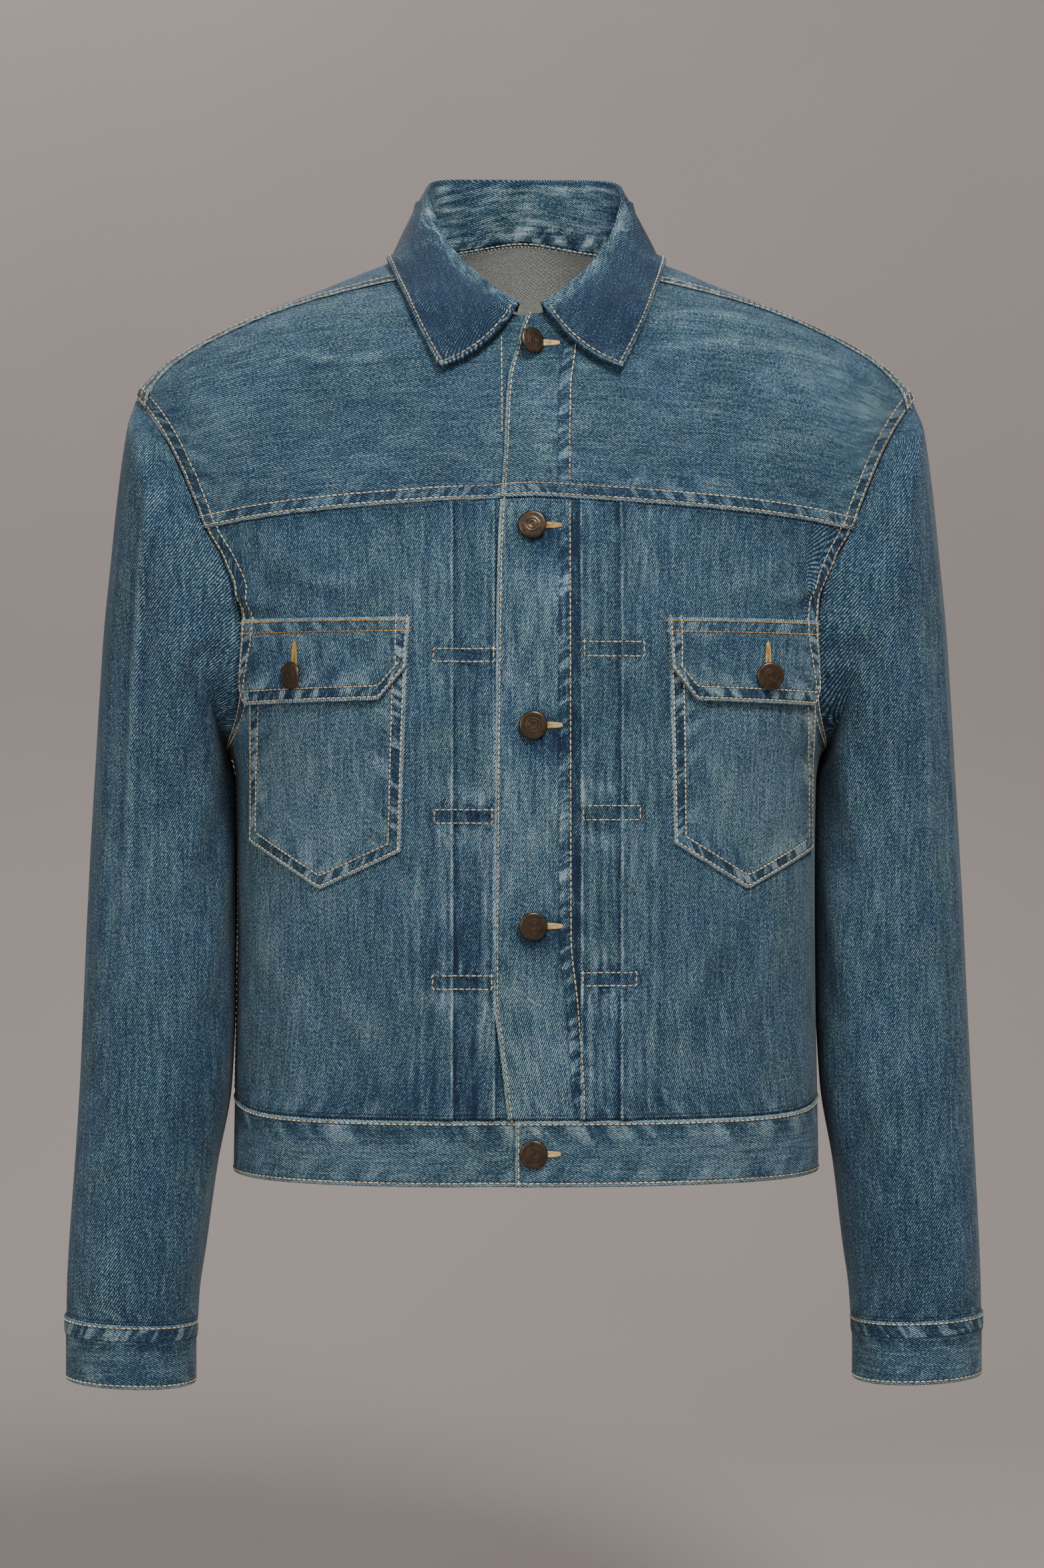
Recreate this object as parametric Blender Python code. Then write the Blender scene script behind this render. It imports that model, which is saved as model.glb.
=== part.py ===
"""Denim jacket in its worn form, empty: one named object for each piece that is cut and sewn.

Metres, +Z up. The front faces -Y and the wearer's left side is +X. The origin lies inside the
neck, on the shoulder line, at the height where that line meets the collar.

The body pieces all lie on one torso form: a stack of rounded rings whose half-width, depths
and roundness come from a table. A piece is a wall between its outer points and its inner ones.
"""

import math

import bmesh
import bpy
import numpy as np
from mathutils import Vector

WALL = 0.0015  # thickness of a single panel
BAND_WALL = 0.0022  # waistband and cuffs, which are folded double
COLLAR_WALL = 0.0018
POCKET_WALL = 0.0012
SEAM_GAP = 0.0003  # between two pieces that are sewn together
LAY_GAP = 0.0010  # under a piece that lies on a curved panel

SHOULDER_TIP = -0.096  # height of the armhole's top
UNDERARM = -0.335  # height of the armhole's lowest point
HEM = -0.6245
BAND_HEIGHT = 0.044

# Torso form: height, half-width, depth in front, depth behind, roundness (2 is an ellipse)
FORM = (
    (0.046, 0.0060, 0.006, 0.0200, 2.0),
    (0.040, 0.0260, 0.012, 0.0480, 2.0),
    (0.031, 0.0450, 0.018, 0.0625, 2.0),
    (0.022, 0.0610, 0.023, 0.0700, 2.0),
    (0.012, 0.0765, 0.028, 0.0752, 2.0),
    (0.002, 0.0890, 0.034, 0.0795, 2.0),
    (-0.009, 0.1150, 0.042, 0.0835, 2.0),
    (-0.0235, 0.1500, 0.0575, 0.0880, 2.0),
    (-0.033, 0.1750, 0.0685, 0.0905, 2.0),
    (-0.044, 0.2000, 0.0790, 0.0930, 2.0),
    (-0.0595, 0.2300, 0.0870, 0.0965, 2.0),
    (-0.0725, 0.2500, 0.0920, 0.0990, 2.0),
    (-0.0845, 0.2620, 0.0955, 0.1010, 2.0),
    (-0.094, 0.2680, 0.0980, 0.1025, 2.0),
    (-0.110, 0.2695, 0.1025, 0.1055, 2.02),
    (-0.140, 0.2660, 0.1095, 0.1105, 2.1),
    (-0.170, 0.2580, 0.1160, 0.1140, 2.2),
    (-0.220, 0.2430, 0.1240, 0.1186, 2.3),
    (-0.270, 0.2260, 0.1290, 0.1203, 2.4),
    (-0.310, 0.2135, 0.1310, 0.1202, 2.45),
    (-0.335, 0.2050, 0.1312, 0.1196, 2.5),
    (-0.345, 0.2012, 0.1312, 0.1193, 2.5),
    (-0.360, 0.1992, 0.1310, 0.1188, 2.5),
    (-0.420, 0.1985, 0.1295, 0.1163, 2.5),
    (-0.500, 0.1990, 0.1270, 0.1140, 2.5),
    (-0.580, 0.2005, 0.1255, 0.1150, 2.5),
    (-0.640, 0.2015, 0.1250, 0.1160, 2.5),
)

# Armhole seam: height, distance from the centre
ARMHOLE = (
    (-0.096, 0.2682),
    (-0.100, 0.2640),
    (-0.108, 0.2575),
    (-0.1255, 0.2460),
    (-0.148, 0.2345),
    (-0.170, 0.2250),
    (-0.1895, 0.2165),
    (-0.212, 0.2035),
    (-0.232, 0.1955),
    (-0.270, 0.1915),
    (-0.295, 0.1935),
    (-0.310, 0.1960),
    (-0.325, 0.2005),
    (-0.335, 0.2050),
)
SHOULDER_SEAM_END = -0.1055  # height where the shoulder seam meets the armhole
FRONT_YOKE_END = -0.1895
BACK_YOKE_END = -0.165
# Heights of the points that the sleeve and the body share, from the top down
FRONT_STATIONS = (
    -0.096, -0.099, -0.1055, -0.121, -0.138, -0.155, -0.172, -0.1895,
    -0.212, -0.235, -0.262, -0.289, -0.312, -0.327, -0.335,
)  # fmt: skip
BACK_STATIONS = (
    -0.101, -0.113, -0.130, -0.148, -0.165, -0.190, -0.212, -0.235,
    -0.262, -0.289, -0.312, -0.327,
)  # fmt: skip

# Neck seam, seen from above: an oval drawn in towards the centre front
NECK_HALF_WIDTH = 0.086
NECK_CENTRE_Y = -0.005
NECK_HALF_DEPTH = 0.075
NECK_TAPER = 1.25
SHOULDER_AT_NECK = 62.0  # degrees round the neck from the centre front
NECK_FRONT_ANGLES = (0.0, 9.0, 20.0, 33.0, 47.0, 62.0)
NECK_BACK_ANGLES = (62.0, 78.0, 92.0, 107.0, 124.0, 142.0, 161.0, 180.0)

# Lower edge of the front yoke: distance from the centre, height
FRONT_YOKE_SEAM = (
    (0.000, -0.1710),
    (0.071, -0.1750),
    (0.129, -0.1790),
    (0.180, -0.1840),
    (0.2165, -0.1895),
)
# Lower edge of the back yoke, as far as the armhole: distance from the centre, height
BACK_YOKE_SEAM = (
    (0.000, -0.1420),
    (0.120, -0.1500),
)
# Front edge of a front, which laps over the centre: height, distance past the centre
FRONT_EDGE = (
    (-0.040, 0.0020),
    (-0.046, 0.0030),
    (-0.055, 0.0065),
    (-0.072, 0.0112),
    (-0.086, 0.0155),
    (-0.100, 0.0170),
    (-0.140, 0.0190),
    (-0.172, 0.0214),
    (-0.220, 0.0236),
    (-0.360, 0.0255),
    (-0.500, 0.0262),
    (-0.530, 0.0225),
    (-0.585, 0.0160),
)
LAP_DEPTH = 0.0026  # the right front runs this far under the left one
LAP_START = 0.052
LAP_END = 0.034
BAND_LAP = 0.0028
BAND_UNDER_END = 0.0200
BAND_OVER_END = -0.0120
BAND_SIDE_RISE = 0.010  # the waistband's upper edge rides up at each side seam
BAND_RISE_POWER = 12  # higher keeps that rise nearer the side seam
BAND_ROWS = (0.0, 0.3, 0.75, 1.0)  # share of its height

# Knife pleats that face the centre: distance of each fold from the centre
PLEATS = (0.0277, 0.0543)
PLEAT_DEPTH = 0.0135
PLEAT_RISE = 0.0018
PLEAT_LIP = 0.0006
# Columns of a front panel before its pleats, and beyond them; a pocket and its flap share all
# of the second group but the first
FIRST_COLUMNS = (-0.0090, 0.0060, 0.0215)
PANEL_COLUMNS = (0.0860, 0.1040, 0.1230, 0.1415, 0.1585, 0.1725, 0.1835)
SIDE_COLUMNS = 3
PANEL_ROWS_BELOW_ARM = 6
BELOW_ARM = -0.346  # height of the row just under the armhole
BACK_COLUMNS = 18

YOKE_LIP = 0.0010  # how far the lapped edge of a yoke stands proud
SHOULDER_LIP = 0.0009
ARMHOLE_LIP = 0.0007
UNDERARM_TURN = 3.0  # how far the armhole ring's outward directions turn down at the underarm
SHOULDER_STEPS = 8  # columns along a shoulder seam
FLAP_ARMHOLE_GAP = 0.0016  # from a flap's upper corner to the armhole
PROBE = 0.0005  # step for measuring the form's slope
HALVINGS = 40  # of the search for a height on the form
SETTLE_STEPS = 4  # rounds of fitting a column's height to its slanted seams

# Sleeve rings: inner x, inner z, outer x, outer z, front depth, back depth, centre y
SLEEVE = (
    (0.2049, -0.3370, 0.2722, -0.1090, 0.0870, 0.0830, 0.000),
    (0.2047, -0.3395, 0.2762, -0.1300, 0.0860, 0.0810, 0.000),
    (0.2045, -0.3440, 0.2808, -0.1650, 0.0830, 0.0790, 0.000),
    (0.2041, -0.3500, 0.2852, -0.2070, 0.0790, 0.0765, 0.000),
    (0.2036, -0.3570, 0.2897, -0.2520, 0.0740, 0.0735, -0.001),
    (0.2032, -0.3660, 0.2930, -0.3010, 0.0690, 0.0700, -0.002),
    (0.2028, -0.3800, 0.2960, -0.3520, 0.0645, 0.0665, -0.003),
    (0.2024, -0.4100, 0.2988, -0.4020, 0.0610, 0.0640, -0.005),
    (0.2028, -0.4550, 0.3010, -0.4520, 0.0590, 0.0610, -0.009),
    (0.2042, -0.5100, 0.3030, -0.5070, 0.0570, 0.0585, -0.013),
    (0.2062, -0.5650, 0.3050, -0.5620, 0.0550, 0.0560, -0.018),
    (0.2104, -0.6200, 0.3070, -0.6170, 0.0530, 0.0535, -0.023),
    (0.2164, -0.6750, 0.3090, -0.6720, 0.0505, 0.0505, -0.028),
    (0.2200, -0.7080, 0.3097, -0.7050, 0.0475, 0.0475, -0.031),
    (0.2212, -0.7285, 0.3098, -0.7250, 0.0445, 0.0445, -0.033),
)
SLEEVE_ROUNDNESS = 2.15
SLEEVE_SWING = {-1: 0.0030, 1: 0.0}  # how far out each sleeve's lower end hangs, by side
SWING_TOP = -0.560
SWING_END = -0.710
# Long soft folds of a sleeve: degrees round it from its outer side, height of the middle,
# half-length, half-width in degrees, rise
SLEEVE_FOLDS = (
    (48.0, -0.290, 0.170, 16.0, 0.0026),
    (112.0, -0.420, 0.060, 18.0, 0.0022),
    (150.0, -0.480, 0.070, 18.0, 0.0022),
    (235.0, -0.440, 0.080, 20.0, 0.0028),
    (300.0, -0.330, 0.140, 18.0, 0.0026),
    (75.0, -0.650, 0.050, 20.0, 0.0018),
    (260.0, -0.640, 0.060, 20.0, 0.0022),
)

# Cuff rings: drop below the sleeve, half-width, half-depth
CUFF_CENTRE = (0.2662, -0.033, -0.7271)
CUFF_ROWS = (
    (0.0000, 0.0452, 0.0452),
    (0.0115, 0.0452, 0.0450),
    (0.0135, 0.0440, 0.0440),
    (0.0440, 0.0440, 0.0435),
)
CUFF_TILT = 0.0018  # the outer side hangs this much higher than the centre
CUFF_SIDES = 20

# Collar, from its front end to the centre back: degrees round the neck seam, then the fold's
# x, y, z, the outer edge's x, y, z, and how far the leaf's middle swings out in x, y, z
COLLAR = (
    (9.0, 0.0072, -0.0850, -0.0395, 0.0605, -0.0990, -0.0845, -0.0080, -0.0040, -0.0100),
    (20.0, 0.0180, -0.0740, -0.0320, 0.0665, -0.0930, -0.0730, -0.0040, -0.0040, -0.0050),
    (33.0, 0.0310, -0.0590, -0.0195, 0.0735, -0.0830, -0.0590, 0.0000, -0.0040, -0.0010),
    (47.0, 0.0440, -0.0420, -0.0060, 0.0815, -0.0650, -0.0410, 0.0020, -0.0030, 0.0020),
    (62.0, 0.0555, -0.0220, 0.0120, 0.0885, -0.0400, -0.0230, 0.0030, -0.0020, 0.0030),
    (78.0, 0.0635, -0.0020, 0.0315, 0.0930, -0.0110, -0.0070, 0.0030, 0.0000, 0.0030),
    (92.0, 0.0672, 0.0150, 0.0470, 0.0945, 0.0170, 0.0000, 0.0030, 0.0010, 0.0030),
    (107.0, 0.0670, 0.0310, 0.0575, 0.0925, 0.0420, 0.0030, 0.0030, 0.0020, 0.0030),
    (124.0, 0.0600, 0.0450, 0.0635, 0.0820, 0.0640, 0.0050, 0.0020, 0.0030, 0.0030),
    (142.0, 0.0450, 0.0550, 0.0660, 0.0610, 0.0800, 0.0070, 0.0010, 0.0030, 0.0030),
    (161.0, 0.0240, 0.0605, 0.0670, 0.0320, 0.0885, 0.0080, 0.0000, 0.0030, 0.0030),
    (180.0, 0.0000, 0.0620, 0.0672, 0.0000, 0.0910, 0.0085, 0.0000, 0.0030, 0.0030),
)
COLLAR_FOLD_RADIUS = 0.0017
COLLAR_STAND_STEPS = 3
COLLAR_FOLD_STEPS = 4
COLLAR_LEAF_STEPS = 6
LEAF_CLEARANCE = 0.0034  # from the torso form to the middle of the collar's leaf

# Breast pocket outline, in front view: distance from the centre, height
POCKET_TOP = -0.262
POCKET_INNER_X = (0.0850, 0.0890)  # top, bottom
POCKET_OUTER_X = (0.1905, 0.1905)
POCKET_CORNER_Z = -0.4035
POCKET_POINT = (0.1415, -0.4275)
POCKET_ROWS = 6
# Flap outline: its upper edge, and its lower one with both corners cut off
FLAP_TOP = -0.2505
FLAP_TOP_INNER = 0.0835
FLAP_LOWER_EDGE = (
    (0.0862, -0.2840),
    (0.1040, -0.3055),
    (0.1885, -0.3072),
    (0.1912, -0.2950),
)
FLAP_ROWS = 3
FLAP_LIFT = 0.0008  # extra room over the pocket's upper edge

# Button profile from the top centre out and round to the foot: radius, height
BUTTON_PROFILE = (
    (0.0030, 0.0040),
    (0.0046, 0.0036),
    (0.0080, 0.0040),
    (0.0093, 0.0031),
    (0.0086, 0.0021),
    (0.0040, 0.0019),
    (0.0036, 0.0000),
)
BUTTON_SIDES = 14
BUTTON_GAP = 0.0003  # under a button's foot
# Buttons of the front: height, how far the foot stands out from the form; the yoke's flat
# facets lie a little inside it
FRONT_BUTTONS = (
    (-0.0665, -0.0004),
    (-0.1900, 0.0003),
    (-0.3215, 0.0003),
    (-0.4530, 0.0003),
)
BAND_BUTTON = (0.0005, -0.6025)
FLAP_BUTTON = (0.1545, -0.2885)
CUFF_BUTTON_ANGLE = 245.0  # degrees round the cuff from its outer side, so behind it
CUFF_BUTTON_DROP = 0.0280

LOOKS = {
    "denim": ((0.115, 0.195, 0.255), 0.85, 0.0),
    "denim_trim": ((0.135, 0.215, 0.270), 0.85, 0.0),
    "bronze": ((0.090, 0.065, 0.045), 0.42, 0.9),
}


def smooth_curve(table, column, key=0):
    """A smooth curve through one column of a table that never swings past its values."""
    rows = sorted(table, key=lambda row: row[key])
    x = np.array([row[key] for row in rows])
    y = np.array([row[column] for row in rows])
    step = np.diff(x)
    slope = np.diff(y) / step
    tangent = np.zeros(len(x))
    tangent[0], tangent[-1] = slope[0], slope[-1]
    for i in range(1, len(x) - 1):
        if slope[i - 1] * slope[i] > 0:
            tangent[i] = 2 * slope[i - 1] * slope[i] / (slope[i - 1] + slope[i])

    def value(at):
        at = np.clip(at, x[0], x[-1])
        i = np.clip(np.searchsorted(x, at) - 1, 0, len(step) - 1)
        h = step[i]
        s = (at - x[i]) / h
        rise = (3 - 2 * s) * s * s
        bend = s * (1 - s) * h * (tangent[i] * (1 - s) - tangent[i + 1] * s)
        return y[i] * (1 - rise) + y[i + 1] * rise + bend

    return value


half_width = smooth_curve(FORM, 1)
front_depth = smooth_curve(FORM, 2)
back_depth = smooth_curve(FORM, 3)
roundness = smooth_curve(FORM, 4)
armhole_x = smooth_curve(ARMHOLE, 1)
front_seam_z = smooth_curve(FRONT_YOKE_SEAM, 1)
back_seam_end = (float(armhole_x(BACK_YOKE_END)), BACK_YOKE_END)
back_seam_z = smooth_curve((*BACK_YOKE_SEAM, back_seam_end), 1)
lap_past_centre = smooth_curve(FRONT_EDGE, 1)
RIDGE_Z = np.linspace(FORM[0][0], SHOULDER_TIP, 400)
RIDGE_X = np.array([half_width(z) for z in RIDGE_Z])


def ridge_height(x):
    """Height of the form's upper edge, the shoulder line, at a distance from the centre."""
    return float(np.interp(abs(x), RIDGE_X, RIDGE_Z))


def blend(a, b, share):
    return a + (b - a) * share


def mirrored(vector):
    return Vector((-vector[0], vector[1], vector[2]))


def ease(value):
    """0 below 0, 1 above 1 and a smooth step between."""
    value = min(max(value, 0.0), 1.0)
    return value * value * (3 - 2 * value)


def form_level(x, y, z):
    """1 on the torso form, less inside it and more outside."""
    depth = front_depth(z) if y < 0 else back_depth(z)
    power = roundness(z)
    sum_ = abs(x / half_width(z)) ** power + abs(y / depth) ** power
    return sum_ ** (1 / power)


def form_normal(point):
    """The outward direction of the torso form at a point on or near it."""
    slope = []
    for axis in range(3):
        step = Vector([PROBE if i == axis else 0.0 for i in range(3)])
        ahead = Vector(point) + step
        behind = Vector(point) - step
        slope.append(form_level(*ahead) - form_level(*behind))
    return Vector(slope).normalized()


def clear_of_form(point, clearance):
    """The point, moved straight out until it is at least this far from the torso form."""
    point = Vector(point)
    for _ in range(SETTLE_STEPS):
        out = form_normal(point)
        here = form_level(*point)
        rate = (form_level(*(point + out * PROBE)) - here) / PROBE
        distance = (here - 1) / rate
        if distance < clearance:
            point = point + out * (clearance - distance)
    return point


def on_form(x, z, side):
    """The form's point at this x and height; side is -1 in front and 1 behind."""
    depth = front_depth(z) if side < 0 else back_depth(z)
    power = roundness(z)
    share = min(abs(x) / half_width(z), 1.0)
    return Vector((x, side * depth * (1 - share**power) ** (1 / power), z))


def round_form(angle, z):
    """The form's point at an angle round it from the centre front, in degrees."""
    s, c = math.sin(math.radians(angle)), math.cos(math.radians(angle))
    power = roundness(z)
    reach = (abs(s) ** power + abs(c) ** power) ** (-1 / power)
    depth = front_depth(z) if c > 0 else back_depth(z)
    return Vector((half_width(z) * reach * s, -depth * reach * c, z))


def angle_at(x, z):
    """The angle round the front of the form where it has this x."""
    power = roundness(z)
    share = min(abs(x) / half_width(z), 1.0)
    angle = math.degrees(math.atan2(share, (1 - share**power) ** (1 / power)))
    return math.copysign(angle, x)


def height_over(x, y):
    """Height of the form's upper surface over a point of the plan."""
    low, high = FRONT_YOKE_END, FORM[0][0]
    for _ in range(HALVINGS):
        middle = (low + high) / 2
        if form_level(x, y, middle) < 1:
            low = middle
        else:
            high = middle
    return low


def over_shoulder(x, reach):
    """The form's point at this x; reach is 0 on the shoulder line, negative before it."""
    z = ridge_height(x) - reach * reach
    return on_form(x, z, math.copysign(1, reach))


def reach_at(x, z, side):
    return side * math.sqrt(max(ridge_height(x) - z, 0.0))


def neck_plan(angle):
    s, c = math.sin(math.radians(angle)), math.cos(math.radians(angle))
    width = abs(s) ** NECK_TAPER if c > 0 else abs(s)
    x = math.copysign(NECK_HALF_WIDTH * width, s)
    return x, NECK_CENTRE_Y - NECK_HALF_DEPTH * c


def neck_point(angle):
    x, y = neck_plan(angle)
    return Vector((x, y, height_over(x, y)))


class Armhole:
    """The ring of points that the sleeve and the body pieces share on the wearer's left."""

    def __init__(self):
        self.keys = [(1, z) for z in reversed(BACK_STATIONS)]
        self.keys += [(-1, z) for z in FRONT_STATIONS]
        self.points = [on_form(float(armhole_x(z)), z, side) for side, z in self.keys]
        count = len(self.keys)
        drop = SHOULDER_TIP - UNDERARM
        self.angles = []
        self.normals = []
        self.gaps = []
        self.lips = []
        for i, (side, z) in enumerate(self.keys):
            angle = math.degrees(math.acos(1 - 2 * (SHOULDER_TIP - z) / drop))
            self.angles.append(angle if side < 0 else 360 - angle)
            turned = max(0.0, -math.cos(math.radians(angle))) ** 3
            self.lips.append(ARMHOLE_LIP * (1 - turned))
            downward = Vector((0, 0, -UNDERARM_TURN * turned))
            normal = (form_normal(self.points[i]) + downward).normalized()
            along = self.points[(i + 1) % count] - self.points[i - 1]
            self.normals.append(normal)
            self.gaps.append(along.cross(normal).normalized())

    def edge(self, side, z, shift=(0, 0, 0)):
        """A body piece's edge point here, its normal and how far its lip stands proud."""
        i = self.keys.index((side, z))
        point = self.points[i] - self.gaps[i] * (SEAM_GAP / 2) + Vector(shift)
        return point, self.normals[i], self.lips[i]


armhole = Armhole()


class Grid:
    """Rows of base points with their normals and the lift of the outer skin over them."""

    def __init__(self):
        self.rows = []

    def add_row(self, row):
        """Each item is (point, normal, lift)."""
        self.rows.append(row)

    def outer(self):
        return [[p + n * lift for p, n, lift in row] for row in self.rows]

    def inner(self, thickness, sunk=None):
        return [
            [p - n * (thickness + (sunk(p) if sunk else 0.0)) for p, n, _ in row]
            for row in self.rows
        ]


def mirrored_grid(grid):
    """The grid on the wearer's other side, its rows turned round so that it winds the same way."""
    return [[mirrored(p) for p in reversed(row)] for row in grid]


def wall(name, outer, inner, look, side=1, ring=False):
    """One closed solid between two grids of points; side -1 mirrors it to the wearer's right.

    Each cell is cut along its shorter diagonal, which keeps slanted cells smooth.
    """
    if side < 0:
        outer, inner = mirrored_grid(outer), mirrored_grid(inner)
    bm = bmesh.new()
    skins = [[[bm.verts.new(p) for p in row] for row in grid] for grid in (outer, inner)]
    rows, columns = len(outer), len(outer[0])
    steps = columns if ring else columns - 1
    for i in (0, rows - 1):
        for j in range(steps):
            k = (j + 1) % columns
            bm.faces.new((skins[0][i][j], skins[0][i][k], skins[1][i][k], skins[1][i][j]))
    if not ring:
        for j in (0, columns - 1):
            for i in range(rows - 1):
                bm.faces.new(
                    (skins[0][i][j], skins[0][i + 1][j], skins[1][i + 1][j], skins[1][i][j])
                )
    for i in range(rows - 1):
        for j in range(steps):
            k = (j + 1) % columns
            rising = outer[i + 1][k] - outer[i][j]
            falling = outer[i + 1][j] - outer[i][k]
            for skin in skins:
                a, b, c, d = skin[i][j], skin[i][k], skin[i + 1][k], skin[i + 1][j]
                if rising.length < falling.length:
                    bm.faces.new((a, b, c))
                    bm.faces.new((a, c, d))
                else:
                    bm.faces.new((a, b, d))
                    bm.faces.new((b, c, d))
    bmesh.ops.recalc_face_normals(bm, faces=bm.faces)
    return finish(name, bm, look)


def finish(name, bm, look):
    mesh = bpy.data.meshes.new(name)
    bm.to_mesh(mesh)
    bm.free()
    mesh.shade_smooth()
    mesh.set_sharp_from_angle(angle=math.radians(40))
    mesh.materials.append(material(name, look))
    obj = bpy.data.objects.new(name, mesh)
    bpy.context.scene.collection.objects.link(obj)
    return obj


def material(name, look):
    color, roughness_, metallic = LOOKS[look]
    made = bpy.data.materials.new(name)
    made.use_nodes = True
    shader = made.node_tree.nodes["Principled BSDF"]
    shader.inputs["Base Color"].default_value = (*color, 1.0)
    shader.inputs["Roughness"].default_value = roughness_
    shader.inputs["Metallic"].default_value = metallic
    return made


def lap_lift(x, under):
    """How far a front lies under the form near the centre; x grows away from its own edge."""
    return -LAP_DEPTH * ease((LAP_START - x) / (LAP_START - LAP_END)) if under else 0.0


def pleat_lift(x):
    """Rise of the outer skin over the pleats' folded layers."""
    lift = 0.0
    for fold in PLEATS:
        rise = min((x - fold) / PLEAT_LIP, (fold + PLEAT_DEPTH - x) / (2 * PLEAT_LIP), 1.0)
        lift = max(lift, PLEAT_RISE * rise)
    return lift


def band_top(angle):
    """Height of the waistband's upper edge; it rides up a little at each side seam."""
    return HEM + BAND_HEIGHT + BAND_SIDE_RISE * abs(math.sin(math.radians(angle))) ** BAND_RISE_POWER


def heights_below_arm():
    """Heights of the rows of a panel at the side seam, from the waistband to the underarm."""
    low = band_top(90) + SEAM_GAP / 2
    steps = PANEL_ROWS_BELOW_ARM - 1
    return [blend(low, BELOW_ARM, i / steps) for i in range(steps + 1)] + [UNDERARM]


def front_columns():
    """The front panel's columns by distance from the centre, up to the last fixed one."""
    stations = list(FIRST_COLUMNS)
    for fold in PLEATS:
        stations += [fold, fold + PLEAT_LIP]
        stations += [fold + PLEAT_DEPTH - 2 * PLEAT_LIP, fold + PLEAT_DEPTH]
    return [*stations, *PANEL_COLUMNS]


def build_front(name, side, under):
    """A front panel, from its lapped edge to the side seam, with its two knife pleats."""
    seam_row = PANEL_ROWS_BELOW_ARM
    heights = heights_below_arm()
    heights += [z for z in reversed(FRONT_STATIONS) if UNDERARM < z <= FRONT_YOKE_END]
    grid = Grid()
    count = count_front_columns()
    for i, height in enumerate(heights):
        share = (height - heights[0]) / (heights[-1] - heights[0])
        row = []
        for j in range(count):
            z = height
            for _ in range(SETTLE_STEPS):
                angle = front_column_angle(j, z)
                x = round_form(angle, z).x
                low = band_top(angle) + SEAM_GAP / 2
                high = float(front_seam_z(abs(x))) - SEAM_GAP / 2
                z = blend(low, high, share)
            point = round_form(angle, z)
            normal = form_normal(point)
            lift = lap_lift(x, under) + pleat_lift(x)
            if j == count - 1 and i >= seam_row:
                drop = -SEAM_GAP / 2 if i == len(heights) - 1 else 0.0
                station = FRONT_STATIONS[-1 - (i - seam_row)]
                point, normal, lift = armhole.edge(-1, station, (0, 0, drop))
            row.append((point, normal, lift))
        grid.add_row(row)
    sunk = (lambda p: -lap_lift(p.x, True)) if under else None
    return wall(name, grid.outer(), grid.inner(WALL, sunk), "denim", side)


FRONT_COLUMNS = front_columns()


def front_column_angle(j, z):
    """Angle round the form of the front panel's column j at a height."""
    if j == 0:
        return angle_at(-float(lap_past_centre(z)), z)
    if j <= len(FRONT_COLUMNS):
        return angle_at(FRONT_COLUMNS[j - 1], z)
    last = angle_at(FRONT_COLUMNS[-1], z)
    end = 90.0 - math.degrees(SEAM_GAP / 2 / half_width(z))
    if z > UNDERARM:
        end = angle_at(float(armhole_x(z)), z)
    return blend(last, end, (j - len(FRONT_COLUMNS)) / SIDE_COLUMNS)


def coons(bottom, top, left, right):
    """Points inside four edges of (x, reach) pairs; left and right run from bottom to top."""
    columns, rows = len(bottom), len(left)
    left = [bottom[0], *left[1:-1], top[0]]
    right = [bottom[-1], *right[1:-1], top[-1]]
    u = along(np.array(top))
    v = along(np.array(right))
    corner = [np.array(c) for c in (bottom[0], bottom[-1], top[0], top[-1])]
    made = []
    for i in range(rows):
        row = []
        for j in range(columns):
            across = blend(np.array(left[i]), np.array(right[i]), u[j])
            upward = blend(np.array(bottom[j]), np.array(top[j]), v[i])
            low = blend(corner[0], corner[1], u[j])
            high = blend(corner[2], corner[3], u[j])
            row.append(across + upward - blend(low, high, v[i]))
        made.append(row)
    return made


def along(points):
    """Each point's share of the way along a line of points."""
    steps = np.linalg.norm(np.diff(points, axis=0), axis=1)
    return np.concatenate([[0.0], np.cumsum(steps)]) / steps.sum()


def armhole_pair(side, z):
    x = float(armhole_x(z))
    return (x, reach_at(x, z, side))


def shoulder_plan(share, shift):
    """A point of the shoulder seam in plan, from the neck to the armhole."""
    neck_x, neck_y = neck_plan(SHOULDER_AT_NECK)
    end = on_form(float(armhole_x(SHOULDER_SEAM_END)), SHOULDER_SEAM_END, -1)
    return blend(neck_x, end.x, share), blend(neck_y, end.y, share) + shift


def plan_pair(x, y):
    return (x, reach_at(x, height_over(x, y), -1 if y < 0 else 1))


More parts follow.
